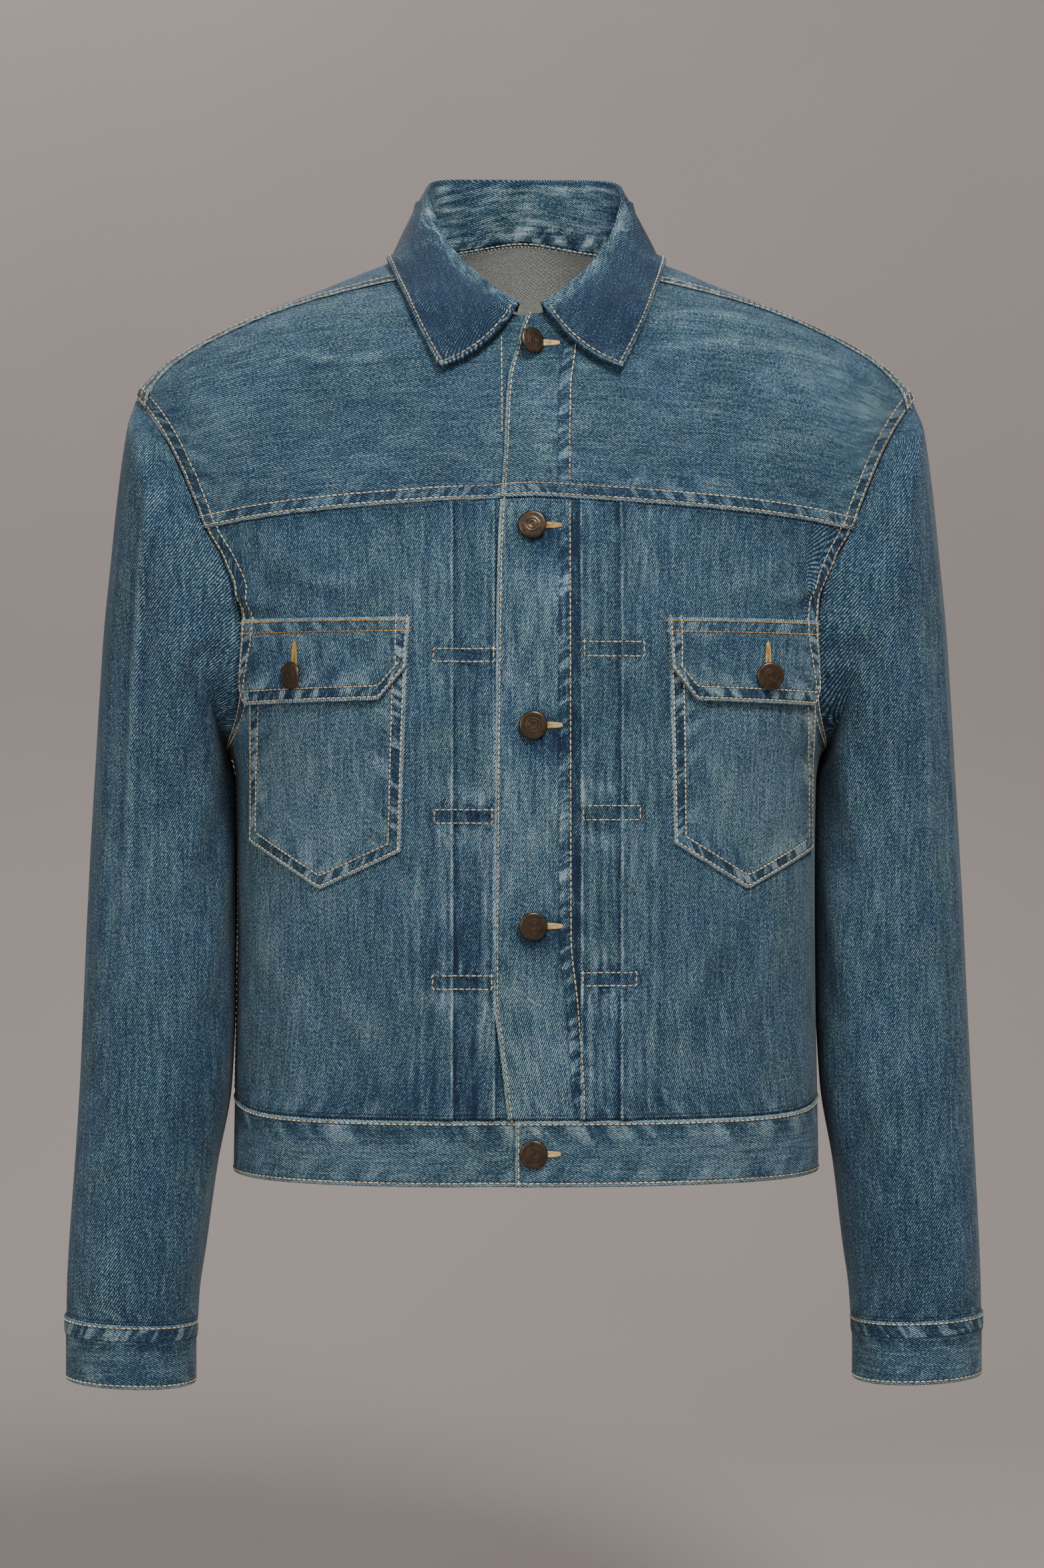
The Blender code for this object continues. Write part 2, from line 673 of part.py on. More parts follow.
def build_front_yoke(name, side, under):
    """A front yoke, between the neck, the shoulder seam, the armhole and its lower seam."""
    shift = -SEAM_GAP / 2
    edge_x = -float(lap_past_centre(FRONT_EDGE[1][0]))
    top = [plan_pair(edge_x, neck_plan(0)[1])]
    top += [plan_pair(*neck_plan(angle)) for angle in NECK_FRONT_ANGLES[1:]]
    for i in range(1, SHOULDER_STEPS + 1):
        top.append(plan_pair(*shoulder_plan(i / SHOULDER_STEPS, shift)))
    stations = [z for z in reversed(FRONT_STATIONS) if FRONT_YOKE_END <= z <= SHOULDER_SEAM_END]
    right = [armhole_pair(-1, z) for z in stations]
    v = along(np.array(right))
    share = along(np.array(top))
    bottom = []
    start = -float(lap_past_centre(float(front_seam_z(0))))
    for s in share:
        x = blend(start, right[0][0], s)
        bottom.append((x, reach_at(x, float(front_seam_z(abs(x))) + SEAM_GAP / 2, -1)))
    left = []
    for s in v:
        reach = blend(bottom[0][1], top[0][1], s)
        z = ridge_height(0.0) - reach * reach
        left.append((-float(lap_past_centre(z)), reach))
    grid = Grid()
    for i, pairs in enumerate(coons(bottom, top, left, right)):
        row = []
        for j, (x, reach) in enumerate(pairs):
            point = over_shoulder(x, reach)
            normal = form_normal(point)
            lap = lap_lift(x, under)
            lift = lap + (YOKE_LIP * (1 + lap / LAP_DEPTH) if i == 0 else 0.0)
            if j == len(pairs) - 1:
                turn = (0, shift, 0) if i == len(stations) - 1 else (0, 0, 0)
                turn = (0, 0, SEAM_GAP / 2) if i == 0 else turn
                point, normal, lip = armhole.edge(-1, stations[i], turn)
                lift = max(lip, lift)
            row.append((point, normal, lift))
        grid.add_row(row)
    sunk = (lambda p: -lap_lift(p.x, True)) if under else None
    return wall(name, grid.outer(), grid.inner(WALL, sunk), "denim", side)


def build_back_yoke():
    """The back yoke, which folds over both shoulders to the seams in front of them."""
    shift = SEAM_GAP / 2
    half_top = []
    for i in range(SHOULDER_STEPS, 0, -1):
        half_top.append(plan_pair(*shoulder_plan(i / SHOULDER_STEPS, shift)))
    half_top += [plan_pair(*neck_plan(angle)) for angle in NECK_BACK_ANGLES]
    top = half_top + [(-x, reach) for x, reach in reversed(half_top[:-1])]
    over = [(1, z) for z in BACK_STATIONS if z >= BACK_YOKE_END][::-1]
    over += [(-1, z) for z in FRONT_STATIONS if z >= SHOULDER_SEAM_END]
    left = [armhole_pair(side, z) for side, z in over]
    right = [(-x, reach) for x, reach in left]
    half_bottom = []
    for j in range(len(half_top)):
        x = blend(left[0][0], 0.0, j / (len(half_top) - 1))
        half_bottom.append((x, reach_at(x, float(back_seam_z(x)) + SEAM_GAP / 2, 1)))
    bottom = half_bottom + [(-x, reach) for x, reach in reversed(half_bottom[:-1])]
    grid = Grid()
    for i, pairs in enumerate(coons(bottom, top, left, right)):
        row = []
        for j, (x, reach) in enumerate(pairs):
            point = over_shoulder(x, reach)
            normal = form_normal(point)
            lift = YOKE_LIP if i == 0 else 0.0
            on_shoulder = min(j, len(pairs) - 1 - j) <= SHOULDER_STEPS
            if i == len(over) - 1 and on_shoulder:
                lift = SHOULDER_LIP
            if j in (0, len(pairs) - 1):
                turn = (0, shift, 0) if i == len(over) - 1 else (0, 0, 0)
                turn = (0, 0, SEAM_GAP / 2) if i == 0 else turn
                point, normal, lip = armhole.edge(*over[i], turn)
                if j:
                    point, normal = mirrored(point), mirrored(normal)
                lift = max(lip, lift)
            row.append((point, normal, lift))
        grid.add_row(row)
    return wall("back_yoke", grid.outer(), grid.inner(WALL), "denim")


def build_back_panel():
    """The back below its yoke, from side seam to side seam."""
    seam_row = PANEL_ROWS_BELOW_ARM
    heights = heights_below_arm()
    stations = [z for z in reversed(BACK_STATIONS) if z <= BACK_YOKE_END]
    heights += stations
    steps = BACK_COLUMNS
    grid = Grid()
    for i, height in enumerate(heights):
        share = (height - heights[0]) / (heights[-1] - heights[0])
        row = []
        for j in range(steps + 1):
            z = height
            for _ in range(SETTLE_STEPS):
                angle = back_column_angle(j, z)
                x = round_form(angle, z).x
                low = band_top(angle) + SEAM_GAP / 2
                high = float(back_seam_z(abs(x))) - SEAM_GAP / 2
                z = blend(low, high, share)
            point = round_form(angle, z)
            normal = form_normal(point)
            lift = 0.0
            if j in (0, steps) and i >= seam_row:
                key = (-1, UNDERARM) if i == seam_row else (1, stations[i - seam_row - 1])
                drop = -SEAM_GAP / 2 if i == len(heights) - 1 else 0.0
                turn = (0, SEAM_GAP, 0) if i == seam_row else (0, 0, drop)
                point, normal, lift = armhole.edge(*key, turn)
                if j:
                    point, normal = mirrored(point), mirrored(normal)
            row.append((point, normal, lift))
        grid.add_row(row)
    return wall("back_panel", grid.outer(), grid.inner(WALL), "denim")


def back_column_angle(j, z):
    """Angle round the form of the back panel's column j at a height."""
    start = 90.0 + math.degrees(SEAM_GAP / 2 / half_width(z))
    if z > UNDERARM:
        start = 180.0 - angle_at(float(armhole_x(z)), z)
    return blend(start, 360.0 - start, j / BACK_COLUMNS)


def swing_out(side, z):
    """How far out a sleeve hangs at this height, beyond the table of its rings."""
    return SLEEVE_SWING[side] * ease((SWING_TOP - z) / (SWING_TOP - SWING_END))


def sleeve_ring(row, side):
    """One ring of a sleeve: a point for each shared angle."""
    inner_x, inner_z, outer_x, outer_z, front, back, centre_y = row
    centre = Vector(((inner_x + outer_x) / 2, centre_y, (inner_z + outer_z) / 2))
    half = Vector(((outer_x - inner_x) / 2, 0, (outer_z - inner_z) / 2))
    centre.x += swing_out(side, centre.z)
    ring = []
    for angle in armhole.angles:
        s, c = math.sin(math.radians(angle)), math.cos(math.radians(angle))
        power = SLEEVE_ROUNDNESS
        reach = (abs(s) ** power + abs(c) ** power) ** (-1 / power)
        depth = front if s > 0 else back
        ring.append(centre + half * (c * reach) - Vector((0, depth * s * reach, 0)))
    return ring


def sleeve_fold(angle, z):
    """Rise of the sleeve's long soft folds."""
    rise = 0.0
    for middle, height, half_length, half_turn, most in SLEEVE_FOLDS:
        turn = (angle - middle + 180) % 360 - 180
        along_it = ease(1 - abs(z - height) / half_length)
        rise += most * along_it * math.exp(-((turn / half_turn) ** 2))
    return rise


def ring_normals(rings):
    """Outward normals of a tube of rings, whose rings run from the top down."""
    normals = []
    for i, ring in enumerate(rings):
        above, below = rings[max(i - 1, 0)], rings[min(i + 1, len(rings) - 1)]
        row = []
        for j in range(len(ring)):
            around = ring[(j + 1) % len(ring)] - ring[j - 1]
            row.append((below[j] - above[j]).cross(around).normalized())
        normals.append(row)
    return normals


def build_sleeve(name, side):
    """A sleeve, from the armhole ring down to the cuff."""
    rings = [[p + g * (SEAM_GAP / 2) for p, g in zip(armhole.points, armhole.gaps)]]
    rings += [sleeve_ring(row, side) for row in SLEEVE]
    normals = ring_normals(rings)
    normals[0] = armhole.normals
    grid = Grid()
    for ring, directions in zip(rings, normals):
        row = []
        for point, normal, angle in zip(ring, directions, armhole.angles):
            point = point + normal * (sleeve_fold(angle, point.z) if ring is not rings[0] else 0.0)
            row.append((point, normal, 0.0))
        grid.add_row(row)
    return wall(name, grid.outer(), grid.inner(WALL), "denim", side, ring=True)


def cuff_point(side, angle, drop, half_x, half_y):
    """A cuff's point, on the wearer's left before it is mirrored."""
    s, c = math.sin(math.radians(angle)), math.cos(math.radians(angle))
    reach = (abs(s) ** SLEEVE_ROUNDNESS + abs(c) ** SLEEVE_ROUNDNESS) ** (-1 / SLEEVE_ROUNDNESS)
    across, along_it = c * reach, s * reach
    x, y, z = CUFF_CENTRE
    x += SLEEVE_SWING[side]
    return Vector((x + half_x * across, y - half_y * along_it, z - drop + CUFF_TILT * across))


def build_cuff(name, side):
    """A cuff: a doubled band with a thick seam allowance along its upper edge."""
    rings = []
    for drop, half_x, half_y in CUFF_ROWS:
        angles = [360 * j / CUFF_SIDES for j in range(CUFF_SIDES)]
        rings.append([cuff_point(side, angle, drop, half_x, half_y) for angle in angles])
    inner = []
    for ring in rings:
        centre = sum(ring, Vector()) / len(ring)
        shrink = 1 - BAND_WALL / CUFF_ROWS[-1][1]
        inner.append([centre + (p - centre) * shrink for p in ring])
    return wall(name, rings, inner, "denim_trim", side, ring=True)


def band_angles():
    """Angles of the waistband's columns: its lapped ends, then the panels' own columns."""
    z = band_top(0)
    first = len(FRONT_COLUMNS) - len(PANEL_COLUMNS)
    front = [front_column_angle(j, z) for j in range(first, count_front_columns())]
    back = [back_column_angle(j, z) for j in range(1, BACK_COLUMNS)]
    angles = [angle_at(BAND_UNDER_END, z), 0.0, -front[0] / 2]
    angles += [-angle for angle in front]
    angles += [-angle for angle in back]
    angles += [angle - 360.0 for angle in reversed(front)]
    angles += [front[0] / 2 - 360.0, angle_at(BAND_OVER_END, z) - 360.0]
    return angles


def count_front_columns():
    return 1 + len(FRONT_COLUMNS) + SIDE_COLUMNS


def build_waistband():
    """The waistband: a strip once round the hem, whose left end laps over the right one."""
    grid = Grid()
    for share in BAND_ROWS:
        row = []
        for angle in band_angles():
            z = blend(HEM, band_top(angle) - SEAM_GAP / 2, share)
            point = round_form(angle, z)
            normal = form_normal(point)
            under = angle > -90.0
            lap = ease((LAP_START + point.x) / (LAP_START - LAP_END)) if under else 0.0
            row.append((point - normal * (BAND_LAP * lap), normal, 0.0))
        grid.add_row(row)
    return wall("waistband", grid.outer(), grid.inner(BAND_WALL), "denim_trim")


def bezier(start, middle, end, share):
    return blend(blend(start, middle, share), blend(middle, end, share), share)


def collar_section(row):
    """The collar sheet's middle line from the neck seam over the fold to the leaf's edge."""
    angle = row[0]
    fold, edge, swing = Vector(row[1:4]), Vector(row[4:7]), Vector(row[7:10])
    seam = neck_point(angle)
    seam = seam - form_normal(seam) * (WALL / 2)
    seam = seam + (fold - seam).normalized() * SEAM_GAP
    up = (fold - seam).normalized()
    down = (edge - fold).normalized()
    crown = (up - down).normalized()
    out = (up + down).normalized()
    out = (out - crown * out.dot(crown)).normalized()
    centre = fold - crown * COLLAR_FOLD_RADIUS
    points = []
    stand_top = centre - out * COLLAR_FOLD_RADIUS
    for i in range(COLLAR_STAND_STEPS):
        points.append(blend(seam, stand_top, i / COLLAR_STAND_STEPS))
    for i in range(COLLAR_FOLD_STEPS + 1):
        turn = math.pi * i / COLLAR_FOLD_STEPS
        points.append(
            centre + (crown * math.sin(turn) - out * math.cos(turn)) * COLLAR_FOLD_RADIUS
        )
    leaf_top = points[-1]
    middle = (leaf_top + edge) / 2 + swing
    for i in range(1, COLLAR_LEAF_STEPS + 1):
        point = bezier(leaf_top, middle, edge, i / COLLAR_LEAF_STEPS)
        points.append(clear_of_form(point, LEAF_CLEARANCE))
    return points


def build_collar():
    """The collar: one folded sheet from the neck seam over its roll line to the leaf's edge."""
    half = [collar_section(row) for row in COLLAR]
    sections = half + [
        [Vector((-p.x, p.y, p.z)) for p in section] for section in reversed(half[:-1])
    ]
    count, length = len(sections), len(sections[0])
    middle_normals = []
    for i, section in enumerate(sections):
        before, after = sections[max(i - 1, 0)], sections[min(i + 1, count - 1)]
        row = []
        for j in range(length):
            along_it = after[j] - before[j]
            across = section[min(j + 1, length - 1)] - section[max(j - 1, 0)]
            row.append(along_it.cross(across).normalized())
        middle_normals.append(row)
    for section, row in zip(sections, middle_normals):
        seam_normal = form_normal(section[0])
        row[0] = seam_normal if seam_normal.dot(row[1]) > 0 else -seam_normal
    outer = []
    inner = []
    for section, row in zip(sections, middle_normals):
        half_walls = [COLLAR_WALL / 2] * length
        half_walls[0] = WALL / 2
        outer.append([p + n * h for p, n, h in zip(section, row, half_walls)])
        inner.append([p - n * h for p, n, h in zip(section, row, half_walls)])
    return wall("collar", outer, inner, "denim_trim")


def panel_lift(x, lift):
    """Outward offset from the form to something that lies this far over the front panel."""
    return pleat_lift(x) + lift


def lay_on_front(name, pairs, lift, thickness, side):
    """A flat piece of (x, z) points laid on the front panel, this far over it."""
    outer = []
    inner = []
    for row in pairs:
        base = [on_form(x, z, -1) for x, z in row]
        normals = [form_normal(p) for p in base]
        lifts = [panel_lift(p.x, lift) for p in base]
        inner.append([p + n * h for p, n, h in zip(base, normals, lifts)])
        outer.append([p + n * (h + thickness) for p, n, h in zip(base, normals, lifts)])
    return wall(name, outer, inner, "denim", side)


def build_pocket(name, side):
    """A breast pocket, pointed at its lower edge."""
    point_x, point_z = POCKET_POINT
    rows = []
    for i in range(POCKET_ROWS + 1):
        share = i / POCKET_ROWS
        start = blend(*POCKET_INNER_X, share)
        end = blend(*POCKET_OUTER_X, share)
        row = []
        for x in (start, *PANEL_COLUMNS[1:], end):
            low = np.interp(x, (start, point_x, end), (POCKET_CORNER_Z, point_z, POCKET_CORNER_Z))
            row.append((x, blend(POCKET_TOP, float(low), share)))
        rows.append(row)
    return lay_on_front(name, rows, LAY_GAP, POCKET_WALL, side)


def build_flap(name, side):
    """A pocket flap with its lower corners cut off."""
    top_end = float(armhole_x(FLAP_TOP)) - FLAP_ARMHOLE_GAP
    edge_x = [x for x, _ in FLAP_LOWER_EDGE]
    edge_z = [z for _, z in FLAP_LOWER_EDGE]
    rows = []
    for i in range(FLAP_ROWS + 1):
        share = i / FLAP_ROWS
        start = blend(FLAP_TOP_INNER, edge_x[0], share)
        end = blend(top_end, edge_x[-1], share)
        row = []
        for x in (start, *PANEL_COLUMNS[1:], edge_x[2], end):
            low = float(np.interp(x, edge_x, edge_z))
            row.append((x, blend(FLAP_TOP, low, share)))
        rows.append(row)
    lift = LAY_GAP + POCKET_WALL + FLAP_LIFT
    return lay_on_front(name, rows, lift, POCKET_WALL, side)


def build_button(name, foot, out):
    """A tack button standing on its foot, facing out."""
    bm = bmesh.new()
    turn = Vector((0, 0, 1)).rotation_difference(out)
    rings = []
    for radius, height in BUTTON_PROFILE:
        ring = []
        for i in range(BUTTON_SIDES):
            angle = 2 * math.pi * i / BUTTON_SIDES
            local = Vector((radius * math.cos(angle), radius * math.sin(angle), height))
            ring.append(bm.verts.new(foot + turn @ local))
        rings.append(ring)
    for upper, lower in zip(rings, rings[1:]):
        for i in range(BUTTON_SIDES):
            k = (i + 1) % BUTTON_SIDES
            bm.faces.new((upper[i], upper[k], lower[k], lower[i]))
    bm.faces.new(rings[0])
    bm.faces.new(rings[-1])
    bmesh.ops.recalc_face_normals(bm, faces=bm.faces)
    return finish(name, bm, "bronze")


def build_buttons():
    for i, (height, gap) in enumerate(FRONT_BUTTONS):
        point = on_form(0.0, height, -1)
        normal = form_normal(point)
        build_button(f"button_front_{i + 1}", point + normal * gap, normal)
    point = on_form(*BAND_BUTTON, -1)
    normal = form_normal(point)
    build_button("button_waistband", point + normal * BUTTON_GAP, normal)
    for side, word in ((-1, "right"), (1, "left")):
        x, z = FLAP_BUTTON
        point = on_form(x * side, z, -1)
        normal = form_normal(point)
        over = LAY_GAP + POCKET_WALL + FLAP_LIFT + POCKET_WALL + BUTTON_GAP
        build_button(f"button_flap_{word}", point + normal * over, normal)
        _, half_x, half_y = CUFF_ROWS[-1]
        point = cuff_point(side, CUFF_BUTTON_ANGLE, CUFF_BUTTON_DROP, half_x, half_y)
        near = cuff_point(side, CUFF_BUTTON_ANGLE + 1, CUFF_BUTTON_DROP, half_x, half_y)
        out = Vector((0, 0, 1)).cross(near - point).normalized()
        out = out if out.y > 0 else -out
        foot = point + out * BUTTON_GAP
        foot.x *= side
        out = Vector((out.x * side, out.y, out.z))
        build_button(f"button_cuff_{word}", foot, out)


def clear_scene():
    for obj in list(bpy.data.objects):
        bpy.data.objects.remove(obj, do_unlink=True)


def main():
    clear_scene()
    for side, word in ((-1, "right"), (1, "left")):
        under = side < 0
        build_front(f"front_{word}", side, under)
        build_front_yoke(f"front_yoke_{word}", side, under)
        build_sleeve(f"sleeve_{word}", side)
        build_cuff(f"cuff_{word}", side)
        build_pocket(f"pocket_{word}", side)
        build_flap(f"flap_{word}", side)
    build_back_yoke()
    build_back_panel()
    build_waistband()
    build_collar()
    build_buttons()


main()
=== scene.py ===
"""Looks of a denim jacket in its worn form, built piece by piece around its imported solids.

Metres, +Z up. The front faces -Y and the wearer's left side is +X. Every cloth piece is a grid
of points on the jacket's form, with an outer and an inner skin. The outer one carries the seams'
lips, the pleats, the puckers along the seams and the soft creases; stitches run on top of it.
"""

import math

import bpy
import numpy as np
from bpy.props import FloatProperty, FloatVectorProperty, PointerProperty
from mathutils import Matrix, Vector


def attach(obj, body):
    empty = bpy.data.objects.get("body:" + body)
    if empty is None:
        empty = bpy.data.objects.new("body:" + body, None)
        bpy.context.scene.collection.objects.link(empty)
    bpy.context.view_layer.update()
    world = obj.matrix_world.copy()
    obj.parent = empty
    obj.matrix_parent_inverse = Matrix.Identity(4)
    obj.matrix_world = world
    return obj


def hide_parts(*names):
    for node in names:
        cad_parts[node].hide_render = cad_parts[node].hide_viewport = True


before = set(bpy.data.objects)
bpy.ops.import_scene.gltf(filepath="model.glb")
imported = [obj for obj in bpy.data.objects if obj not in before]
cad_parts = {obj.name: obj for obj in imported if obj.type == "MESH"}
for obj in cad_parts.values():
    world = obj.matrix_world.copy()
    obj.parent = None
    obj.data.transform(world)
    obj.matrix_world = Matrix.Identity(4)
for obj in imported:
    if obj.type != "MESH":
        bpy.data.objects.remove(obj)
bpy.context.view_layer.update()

bl_info = {
    "name": "Denim Jacket",
    "version": (1, 0, 0),
    "blender": (4, 5, 0),
    "location": "3D View > Sidebar > Jacket",
    "description": "Builds the cloth, stitching and buttons of a denim jacket",
    "category": "Object",
}

BODY = "root"

WALL = 0.0013  # thickness of a single layer
BAND_WALL = 0.0020
COLLAR_WALL = 0.0018
POCKET_WALL = 0.0011
CELL = 0.0032  # usual distance between the grid's points
SEAM_GAP = 0.0003
EDGE_STEPS = (0.0, 0.0004, 0.0010, 0.0020, 0.0036)  # closer rows where an edge is rolled
ROLL = 0.0011  # radius of a rolled edge
RUN_JUMP = 0.012  # a step in a seam's run between neighbours that only another seam makes
PLAIN_EDGE = {"fold": 0.0, "width": 0.0005}  # an edge that is sewn under its neighbour
FIRST_GROOVE = 0.0029  # from an edge to the groove of its first stitch line
LINE_LIFT = 0.0002  # a line of stitches over the cloth it lies on
PANEL_LINE_Z = [-0.176, -0.578]  # the placket's inner line on a front panel
YOKE_LINE_Z = [-0.054, -0.170]  # the same line on the left yoke
UNDER_LINE_Z = [-0.062, -0.125]  # the line of the right yoke, under the lap
UNDER_LINE_X = 0.0195
CUFF_LAP_RISE = 0.0009
BUTTON_LEAN = 0.0036  # how far a tilted button is raised, by the sine of its tilt

CAMERA_SENSOR = 36.0  # mm, upright
CAMERA_LENS = 79.75  # mm
CAMERA_HEIGHT = -0.360
CAMERA_DISTANCE = 2.4
CAMERA_TURN = -2.0  # degrees to the side
CAMERA_SHIFT = -0.0026
LIGHTS = (
    # name, location, height it points at, size, setting of its power
    ("Key", (0.7, -1.9, 2.0), -0.30, 0.9, "key_power"),
    ("Fill", (-1.9, -2.2, 0.3), -0.35, 1.8, "fill_power"),
    ("Back", (-0.5, 1.6, 1.3), -0.40, 1.4, "back_power"),
)
STITCH_LINES = (0.0025, 0.0095)  # double sewing: distance of each line from the edge

SHOULDER_TIP = -0.096
UNDERARM = -0.335
HEM = -0.6245
BAND_HEIGHT = 0.044
BAND_SIDE_RISE = 0.010
BAND_RISE_POWER = 12

# Torso form: height, half-width, depth in front, depth behind, roundness (2 is an ellipse)
FORM = (
    (0.046, 0.0060, 0.006, 0.0200, 2.0),
    (0.040, 0.0260, 0.012, 0.0480, 2.0),
    (0.031, 0.0450, 0.018, 0.0625, 2.0),
    (0.022, 0.0610, 0.023, 0.0700, 2.0),
    (0.012, 0.0765, 0.028, 0.0752, 2.0),
    (0.002, 0.0890, 0.034, 0.0795, 2.0),
    (-0.009, 0.1150, 0.042, 0.0835, 2.0),
    (-0.0235, 0.1500, 0.0575, 0.0880, 2.0),
    (-0.033, 0.1750, 0.0685, 0.0905, 2.0),
    (-0.044, 0.2000, 0.0790, 0.0930, 2.0),
    (-0.0595, 0.2300, 0.0870, 0.0965, 2.0),
    (-0.0725, 0.2500, 0.0920, 0.0990, 2.0),
    (-0.0845, 0.2620, 0.0955, 0.1010, 2.0),
    (-0.094, 0.2680, 0.0980, 0.1025, 2.0),
    (-0.110, 0.2695, 0.1025, 0.1055, 2.02),
    (-0.140, 0.2660, 0.1095, 0.1105, 2.1),
    (-0.170, 0.2580, 0.1160, 0.1140, 2.2),
    (-0.220, 0.2430, 0.1240, 0.1186, 2.3),
    (-0.270, 0.2260, 0.1290, 0.1203, 2.4),
    (-0.310, 0.2135, 0.1310, 0.1202, 2.45),
    (-0.335, 0.2050, 0.1312, 0.1196, 2.5),
    (-0.345, 0.2012, 0.1312, 0.1193, 2.5),
    (-0.360, 0.1992, 0.1310, 0.1188, 2.5),
    (-0.420, 0.1985, 0.1295, 0.1163, 2.5),
    (-0.500, 0.1990, 0.1270, 0.1140, 2.5),
    (-0.580, 0.2005, 0.1255, 0.1150, 2.5),
    (-0.640, 0.2015, 0.1250, 0.1160, 2.5),
)
# Armhole seam: height, distance from the centre
ARMHOLE = (
    (-0.096, 0.2682),
    (-0.100, 0.2640),
    (-0.108, 0.2575),
    (-0.1255, 0.2460),
    (-0.148, 0.2345),
    (-0.170, 0.2250),
    (-0.1895, 0.2165),
    (-0.212, 0.2035),
    (-0.232, 0.1955),
    (-0.270, 0.1915),
    (-0.295, 0.1935),
    (-0.310, 0.1960),
    (-0.325, 0.2005),
    (-0.335, 0.2050),
)
SHOULDER_SEAM_END = -0.1055
FRONT_YOKE_END = -0.1895
BACK_YOKE_END = -0.165

NECK_HALF_WIDTH = 0.086
NECK_CENTRE_Y = -0.005
NECK_HALF_DEPTH = 0.075
NECK_TAPER = 1.25
SHOULDER_AT_NECK = 62.0

# Lower edge of the front yoke: distance from the centre, height
FRONT_YOKE_SEAM = (
    (0.000, -0.1710),
    (0.071, -0.1750),
    (0.129, -0.1790),
    (0.180, -0.1840),
    (0.2165, -0.1895),
)
BACK_YOKE_SEAM = ((0.000, -0.1420), (0.120, -0.1500))
# Front edge of a front: height, distance past the centre
FRONT_EDGE = (
    (-0.040, 0.0020),
    (-0.046, 0.0030),
    (-0.055, 0.0065),
    (-0.072, 0.0112),
    (-0.086, 0.0155),
    (-0.100, 0.0170),
    (-0.140, 0.0190),
    (-0.172, 0.0214),
    (-0.220, 0.0236),
    (-0.360, 0.0255),
    (-0.500, 0.0262),
    (-0.530, 0.0225),
    (-0.585, 0.0160),
)
LAP_DEPTH = 0.0026
LAP_START = 0.052
LAP_END = 0.034
BAND_LAP = 0.0028
BAND_UNDER_END = 0.0200
BAND_OVER_END = -0.0120
PLACKET_FADE = 0.13

# Knife pleats: distance of each fold from the centre, by side
PLEATS = {-1: (0.0245, 0.0519), 1: (0.0310, 0.0574)}
PLEAT_DEPTH = 0.0135
PLEAT_RISE = 0.0019
PLEAT_LIP = 0.0007
# Columns of the grid across a pleat, from its fold
PLEAT_STEPS = (
    -0.0045, -0.0022, -0.0009, -0.0003, 0.0003, 0.0007, 0.0014, 0.0022, 0.0035, 0.0065, 0.0100, 0.0135
)
# Box tacks over the pleats by side: height of the upper and the lower line, start x, end x
TACKS = {
    -1: (
        (-0.2716, -0.2800, 0.0258, 0.0652),
        (-0.3768, -0.3856, 0.0268, 0.0645),
        (-0.4855, -0.4943, 0.0270, 0.0655),
    ),
    1: (
        (-0.2668, -0.2762, 0.0336, 0.0732),
        (-0.3742, -0.3834, 0.0328, 0.0704),
        (-0.4836, -0.4922, 0.0326, 0.0680),
    ),
}
# Inner stitch line of the placket: height, distance from the centre
PLACKET_LINE = (
    (-0.052, 0.0315),
    (-0.073, 0.0292),
    (-0.095, 0.0262),
    (-0.140, 0.0250),
    (-0.300, 0.0245),
    (-0.460, 0.0250),
    (-0.505, 0.0295),
    (-0.560, 0.0335),
)

# Sleeve rings: inner x, inner z, outer x, outer z, front depth, back depth, centre y
SLEEVE = (
    (0.2049, -0.3370, 0.2722, -0.1090, 0.0870, 0.0830, 0.000),
    (0.2047, -0.3395, 0.2762, -0.1300, 0.0860, 0.0810, 0.000),
    (0.2036, -0.3440, 0.2808, -0.1650, 0.0830, 0.0790, 0.000),
    (0.2018, -0.3500, 0.2852, -0.2070, 0.0790, 0.0765, 0.000),
    (0.2000, -0.3570, 0.2897, -0.2520, 0.0740, 0.0735, -0.001),
    (0.1995, -0.3660, 0.2930, -0.3010, 0.0690, 0.0700, -0.002),
    (0.1992, -0.3800, 0.2960, -0.3520, 0.0645, 0.0665, -0.003),
    (0.1989, -0.4100, 0.2988, -0.4020, 0.0610, 0.0640, -0.005),
    (0.1989, -0.4550, 0.3010, -0.4520, 0.0590, 0.0610, -0.009),
    (0.1994, -0.5100, 0.3030, -0.5070, 0.0570, 0.0585, -0.013),
    (0.2018, -0.5650, 0.3050, -0.5620, 0.0550, 0.0560, -0.018),
    (0.2104, -0.6200, 0.3070, -0.6170, 0.0530, 0.0535, -0.023),
    (0.2164, -0.6750, 0.3090, -0.6720, 0.0505, 0.0505, -0.028),
    (0.2200, -0.7030, 0.3097, -0.7000, 0.0475, 0.0475, -0.031),
    (0.2212, -0.7232, 0.3098, -0.7197, 0.0445, 0.0445, -0.033),
)
SLEEVE_ROUNDNESS = 2.15
SLEEVE_SWING = {-1: 0.0030, 1: 0.0}
SWING_TOP = -0.560
SWING_END = -0.710
SLEEVE_COLUMNS = 132
SLEEVE_SEAM_ANGLE = 208.0  # the felled seam, behind and inside
SLEEVE_AXIS = 0.2490
SLEEVE_LEAN = 0.030
SLEEVE_RADIUS = 0.052
SLEEVE_CROWN = (-0.128, -0.104)

CUFF_CENTRE = (0.2662, -0.033, -0.7203)
CUFF_TILT = 0.0018
CUFF_HEIGHT = 0.0435
CUFF_RIDGE = 0.0118  # height of the thick upper edge
CUFF_RADIUS = (0.0440, 0.0437)
CUFF_RIDGE_RISE = 0.0011
CUFF_COLUMNS = 132
CUFF_LAP = (236.0, 262.0)  # degrees where the cuff's end lies over its start

